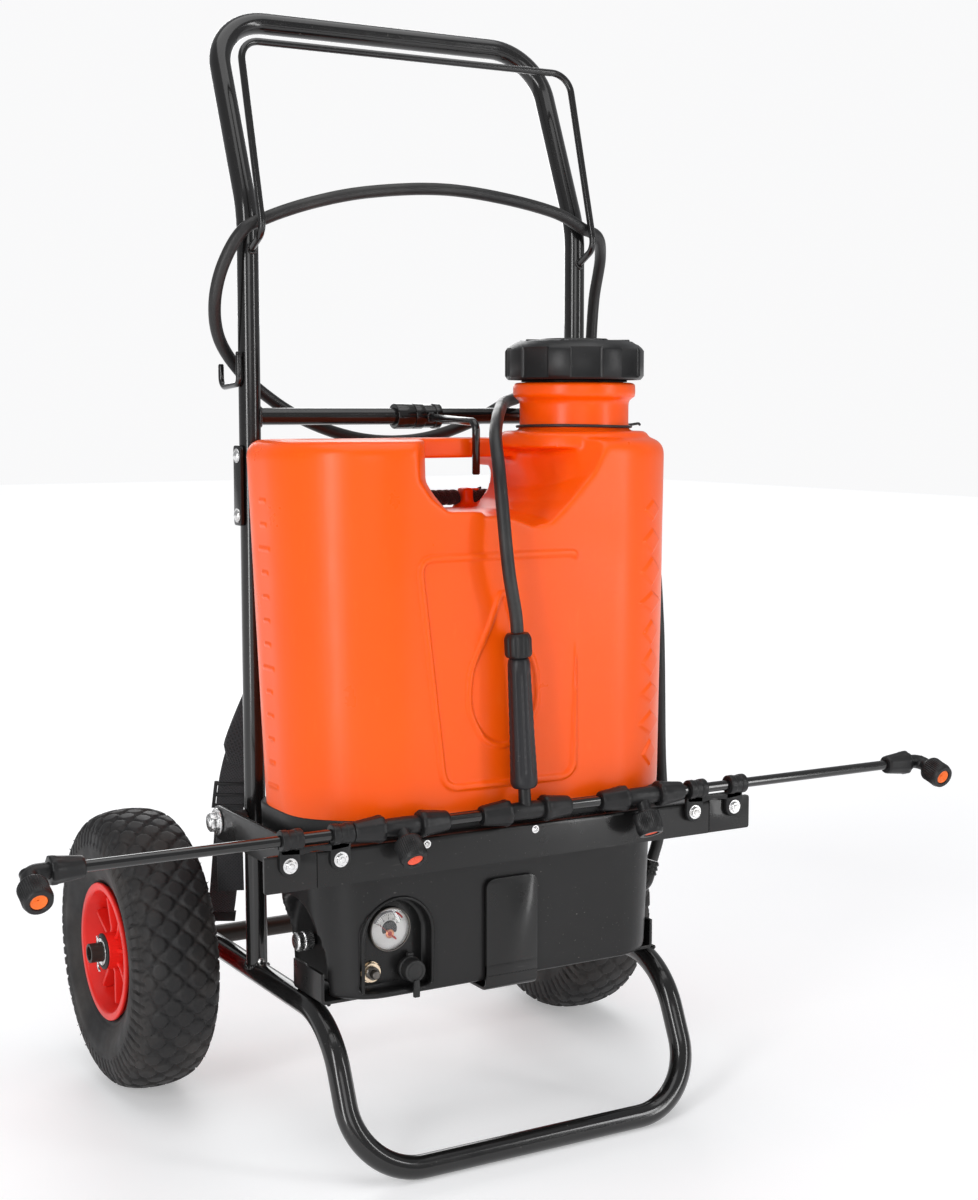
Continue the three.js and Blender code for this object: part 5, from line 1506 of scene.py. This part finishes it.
def boom_clip(x):
    """Two collars round the boom on lugs, joined by a web, and the bolts through the lugs."""
    made, bolts = Shape(), Shape()
    front = PLATE_Y - 0.3
    for off in (-CLIP_SPREAD, CLIP_SPREAD):
        collar = eased([(4.8, -9), (8.1, -9), (8.5, -8.3), (8.5, -3.5), (7.9, -2.6), (7.9, 2.6), (8.5, 3.5),
                        (8.5, 8.3), (8.1, 9), (4.8, 9)],
                       0.3, 2)
        made.put(lathe(collar + collar[:1], 48), at(x + off, BOOM_Y, BOOM_Z, TO_X))
        lug = [(off + 9 * math.cos(a), CLIP_BOLT_Z + 9 * math.sin(a))
               for a in [math.pi + math.pi * k / 16 for k in range(17)]]
        lug += [(off + 9, 294.5), (off - 9, 294.5)]
        made.put(prism([(x + u, z) for u, z in lug], 4, 0.9), at(0, front, 0, TO_FRONT))
        bolts.put(nut(4.3, 2.7), at(x + off, front - 4, CLIP_BOLT_Z, TO_FRONT))
        bolts.put(lathe([(0, 2.2), (2.0, 2.4), (2.4, 2.1), (2.4, 0), (0, 0)], 24),
                  at(x + off, front - 4.2, CLIP_BOLT_Z, TO_FRONT) @ at(0, 0, 1.0))
        bolts.put(lathe([(0, 0), (6.2, 0), (6.2, 0.6), (0, 0.7)], 32),
                  at(x + off, front - 3.9, CLIP_BOLT_Z, TO_FRONT))
    web = [(x - 30, 286), (x - 12, 284.5), (x, 287), (x + 12, 284.5), (x + 30, 286), (x + 30, 291),
           (x - 30, 291)]
    made.put(prism(eased(web, 2, 3, closed=True), 4, 0.8), at(0, front, 0, TO_FRONT))
    return made, bolts


for word, side in SIDES:
    clip, bolts = boom_clip(SPRAYER_X + side * (ARM_X + 1))
    show(f"boom_clip_{word}_moulding", clip, fitting_plastic, stands_for=[f"boom_clip_{word}"], sharp=42)
    show(f"boom_clip_{word}_bolts", bolts, zinc, sharp=35)

# ---------------------------------------------------------------- centre tee, lance grip and its nut
lance = at(CENTRE_X, BOOM_Y, BOOM_Z)
tee = tee_barrel(lance @ TO_X)
lean = lance @ about("Y", -3)
tee.put(lathe(eased([(0, 0), (6.2, 4), (5.4, 9), (5.2, 19.7), (0, 19.7)], 1.0), 40), lean)
show("centre_tee_fitting", tee, fitting_plastic, stands_for=["centre_tee"], sharp=42)


FLUTES_LOW, FLUTES_HIGH = 28, 122


def grip_flutes(r, z, angle):
    """Six long dished flats along the grip, with fine rings across them."""
    if FLUTES_LOW < z < FLUTES_HIGH and r > 7:
        wrap = ((math.degrees(angle) + 30) % 60) - 30
        fade = smooth_step((z - FLUTES_LOW) / 8) * smooth_step((FLUTES_HIGH - z) / 8)
        return r - 1.15 * fade * smooth_step(1.3 - abs(wrap) / 15) + 0.12 * fade * math.cos(z * 2.4)
    return r


grip_profile = [(0, 20), (9.2, 20), (10.2, 20.8), (11.2, 22.6), (11.5, 24.5)]
grip_profile += [(11.5 - 0.05 * k, 26 + k * 1.9) for k in range(20)]
grip_profile += [(10.5 - 0.032 * k, 64 + k * 1.95) for k in range(32)]
grip_profile += [(9.0, 127.5), (8.2, 129.4), (7.6, 130), (6.5, 130), (6.5, 141), (0, 141)]
show("lance_grip_moulding", Shape().put(lathe(grip_profile, 144, grip_flutes), lean), grip_plastic,
     stands_for=["lance_grip"], sharp=45)


def nut_lobes(r, z, angle):
    return r - 0.7 * (0.5 - 0.5 * math.cos(angle * 10)) ** 3 if 132 < z < 148 and r > 10.4 else r


nut_profile = [(6.8, 131), (10.2, 131), (10.9, 131.8), (11.4, 133), (11.5, 135), (11.5, 145.5),
               (11.1, 147.3), (10.2, 149), (9, 150.6), (0, 150.6), (0, 145.2), (6.8, 145.2), (6.8, 131)]
show("grip_nut_ring", Shape().put(lathe(nut_profile, 160, nut_lobes), lean), fitting_plastic, "hose_nut",
     ["grip_nut"], 42)

# ---------------------------------------------------------------- battery, pump and strainer inside
battery_shape = Shape().put(prism(eased([(-62, -140), (62, -140), (62, -74), (-62, -74)], 5, 4,
                                        closed=True), 82, 2.0), at(0, 0, 150))
for k in range(6):
    battery_shape.put(box(-55, -137 + k * 0.01, 165 + k * 9, 55, -73.6, 168 + k * 9, 0.8))
for x in (-40, 40):
    battery_shape.put(box(x - 4, -110, 231, x + 4, -104, 238, 0.6), mat=1)
show("battery_case_moulding", battery_shape, [case_grey, zinc], stands_for=["battery"])

pump_shape = Shape().put(prism(eased([(-106, 156), (-62, 156), (-62, 200), (-106, 200)], 6, 5, closed=True),
                               26, 1.5), at(-138, 0, 0, TO_X))
pump_shape.put(lathe(eased([(0, -113), (19, -113), (19, -74), (14, -70), (0, -70)], 1.5, 3), 48),
               at(0, KNOB_Y, KNOB_Z, TO_X), 1)
pump_shape.put(lathe(eased([(0, -158), (5, -158), (5, -137), (0, -137)], 0.6), 32),
               at(0, KNOB_Y, KNOB_Z, TO_X))
for y in (-100, -68):
    for z in (162, 194):
        pump_shape.put(dome_screw(3), at(-138, y, z, TO_LEFT), 1)
show("pump_assembly", pump_shape, [fitting_plastic, dark_steel], stands_for=["pump"])

basket = Shape().put(lathe(eased([(47.5, 657.6), (47.5, 659), (44, 659), (38.6, 563.5), (0, 563.5),
                                  (0, 565), (37.4, 565), (43, 657.6), (47.5, 657.6)],
                                 0.4, 1), 72), at(NECK_X, NECK_Y))
for k in range(12):
    z = 570 + k * 7
    out = (z - 563) * 0.057
    basket.put(lathe([(38.7 + out, z), (40.2 + out, z + 1), (38.8 + out, z + 2)], 72), at(NECK_X, NECK_Y))
show("strainer_basket_mesh", basket, cap_plastic, stands_for=["strainer_basket"], sharp=50)

# ---------------------------------------------------------------- shoulder straps
# The right strap's line from the tank's pocket down to the axle; the left one's mirrors it.
STRAP_SPOTS = [(52, -12, 557), (56, 4, 549), (69, 16, 526), (99, 24, 460), (136, 30, 390), (160, 36, 335),
               (167, 47, 298), (165, 72, 230), (160, 100, 172), (159, 110, 154)]


def webbing_section(wide, thick):
    x, y = wide / 2, thick / 2
    outline = eased([(-x, -y), (x, -y), (x, y), (-x, y)], thick * 0.45, 3, closed=True)
    fine = []
    for a, b in zip(outline, outline[1:] + outline[:1]):
        cuts = max(1, int(math.dist(a, b) / 2.2))
        fine += [(a[0] + (b[0] - a[0]) * k / cuts, a[1] + (b[1] - a[1]) * k / cuts) for k in range(cuts)]
    return fine


def section_along(points, section, wide, scale_at):
    """Sweeps a section whose size changes. scale_at gets the share of the way and the thickness there."""
    verts, faces, uvs = sweep(points, section, wide=wide)
    n = len(section)
    count = len(points)
    out = []
    for i in range(count):
        centre = Vector(points[i])
        for k in range(n):
            v = Vector(verts[i * n + k])
            out.append(tuple(centre + (v - centre) * scale_at(i / (count - 1), section[k][1])))
    return out, faces, uvs


STRAP_TOP_Z, STRAP_FOOT_Z = STRAP_SPOTS[0][2], STRAP_SPOTS[-1][2]
BUCKLE_AT, TAIL_AT, PAD_FROM, PAD_TO = 50, 52, 10, 46   # numbers of points along the strap


def pad_swell(share, w):
    """The pad is quilted across and tapers at both ends."""
    end = smooth_step(share / 0.1) * smooth_step((1 - share) / 0.1)
    quilt = 0.86 + 0.14 * abs(math.sin(share * math.pi * 9))
    return (0.55 + 0.45 * end) * (quilt if abs(w) > 2.0 else 1.0)


for word, side in SIDES:
    points = smooth_route([(side * x + SPRAYER_X * (z - STRAP_FOOT_Z) / (STRAP_TOP_Z - STRAP_FOOT_Z), y, z)
                           for x, y, z in STRAP_SPOTS], 8)
    across = Vector((0.866, side * 0.5, 0))
    band = Shape().put(sweep(points, webbing_section(25.4, 2.0), wide=across))
    tail_line = [points[TAIL_AT] + Vector((side * 2.5, -4.5 - k * 0.35, -k * 9.0)) for k in range(9)]
    band.put(sweep(tail_line, webbing_section(24, 1.6), wide=across))
    show(f"strap_{word}_webbing", band, webbing, stands_for=[f"strap_{word}"], sharp=60)
    cushion = section_along(points[PAD_FROM:PAD_TO], webbing_section(33, 6.4), across, pad_swell)
    pad = show(f"strap_{word}_pad", Shape().put(cushion), pad_cloth, sharp=70)
    middle, along = points[BUCKLE_AT], (points[BUCKLE_AT + 1] - points[BUCKLE_AT - 1]).normalized()
    out = across.cross(along).normalized()
    turn = Matrix((across, along, out)).transposed().to_4x4()
    buckle = Shape()
    for v0 in (-13, -1.4, 10.2):
        buckle.put(box(-15.5, v0, -2.0, 15.5, v0 + 2.8, 2.2, 0.7), at(*middle) @ turn)
    for u0 in (-16.5, 13.3):
        buckle.put(box(u0, -13.5, -2.0, u0 + 3.2, 13.5, 2.2, 0.8), at(*middle) @ turn)
    show(f"strap_{word}_buckle", buckle, fitting_plastic)
    loop = Shape().put(box(-15, -4, -2.4, 15, 6, 2.4, 0.8), at(*points[-1]) @ turn)
    show(f"strap_{word}_foot", loop, webbing)


def strap_roll(x0, x1):
    """Strap end wound round the bar in the tank's rear pocket."""
    steps = x1 - x0
    line = [(x0 + k, -23, 553 + 0.4 * math.sin(k * 0.9)) for k in range(steps + 1)]
    return Shape().put(pipe(line, 6.9, 28)).put(pipe(line, 3.9, 28))


show("strap_end_left", strap_roll(-50, 26), webbing, sharp=60)
show("strap_end_right", strap_roll(39, 64), webbing, sharp=60)

# ---------------------------------------------------------------- stage and light
floor_nodes = Nodes("pale_floor")              # it glows more far away, where the lamps don't reach
reach = floor_nodes.add("ShaderNodeVectorMath", operation="LENGTH")
floor_nodes.link(floor_nodes.place, reach.inputs[0])
floor_nodes.set(Base_Color=(0.8, 0.8, 0.81), Emission_Color=(1.0, 1.0, 1.0),
                Emission_Strength=floor_nodes.ramp(reach.outputs["Value"], 1.0, 3.2, 0.3, 0.68),
                Roughness=floor_nodes.ramp(floor_nodes.noise(3, 3, 0.5), 0.3, 0.7, 0.55, 0.68))
floor_mesh = bpy.data.meshes.new("floor")
floor_mesh.from_pydata([(-9, -5, 0), (9, -5, 0), (9, 14, 0), (-9, 14, 0)], [], [(0, 1, 2, 3)])
floor_mesh.materials.append(floor_nodes.material)
floor = bpy.data.objects.new("floor", floor_mesh)
bpy.context.scene.collection.objects.link(floor)


def panel_light(name, where, toward, width, height, watts):
    lamp = bpy.data.lights.new(name, "AREA")
    lamp.shape = "RECTANGLE"
    lamp.size, lamp.size_y, lamp.energy = width, height, watts
    holder = bpy.data.objects.new(name, lamp)
    bpy.context.scene.collection.objects.link(holder)
    holder.location = where
    holder.rotation_euler = (Vector(toward) - Vector(where)).to_track_quat("-Z", "Y").to_euler()


panel_light("strip_left", (-2.2, -1.5, 1.0), (0, 0, 0.45), 0.42, 2.1, 30)
panel_light("strip_right", (1.7, -2.2, 1.0), (0, 0, 0.45), 0.3, 2.0, 17)
panel_light("overhead", (0, -0.3, 2.7), (0, 0, 0.4), 2.4, 2.2, 24)
panel_light("front_fill", (-0.9, -3.2, 1.2), (0, 0, 0.45), 1.3, 1.0, 9)
panel_light("back_fill", (0.9, 2.6, 1.5), (0, 0, 0.5), 1.6, 1.4, 20)

bpy.context.scene.view_settings.view_transform = "Standard"
world = bpy.data.worlds.new("studio")
bpy.context.scene.world = world
world.use_nodes = True
tree = world.node_tree
ambient = tree.nodes["Background"]
ambient.inputs["Color"].default_value = (0.93, 0.94, 0.96, 1)
ambient.inputs["Strength"].default_value = 0.42
backdrop = tree.nodes.new("ShaderNodeBackground")
backdrop.inputs["Color"].default_value = (0.95, 0.95, 0.955, 1)
seen = tree.nodes.new("ShaderNodeLightPath")
either = tree.nodes.new("ShaderNodeMixShader")
tree.links.new(seen.outputs["Is Camera Ray"], either.inputs[0])
tree.links.new(ambient.outputs[0], either.inputs[1])
tree.links.new(backdrop.outputs[0], either.inputs[2])
tree.links.new(either.outputs[0], tree.nodes["World Output"].inputs["Surface"])
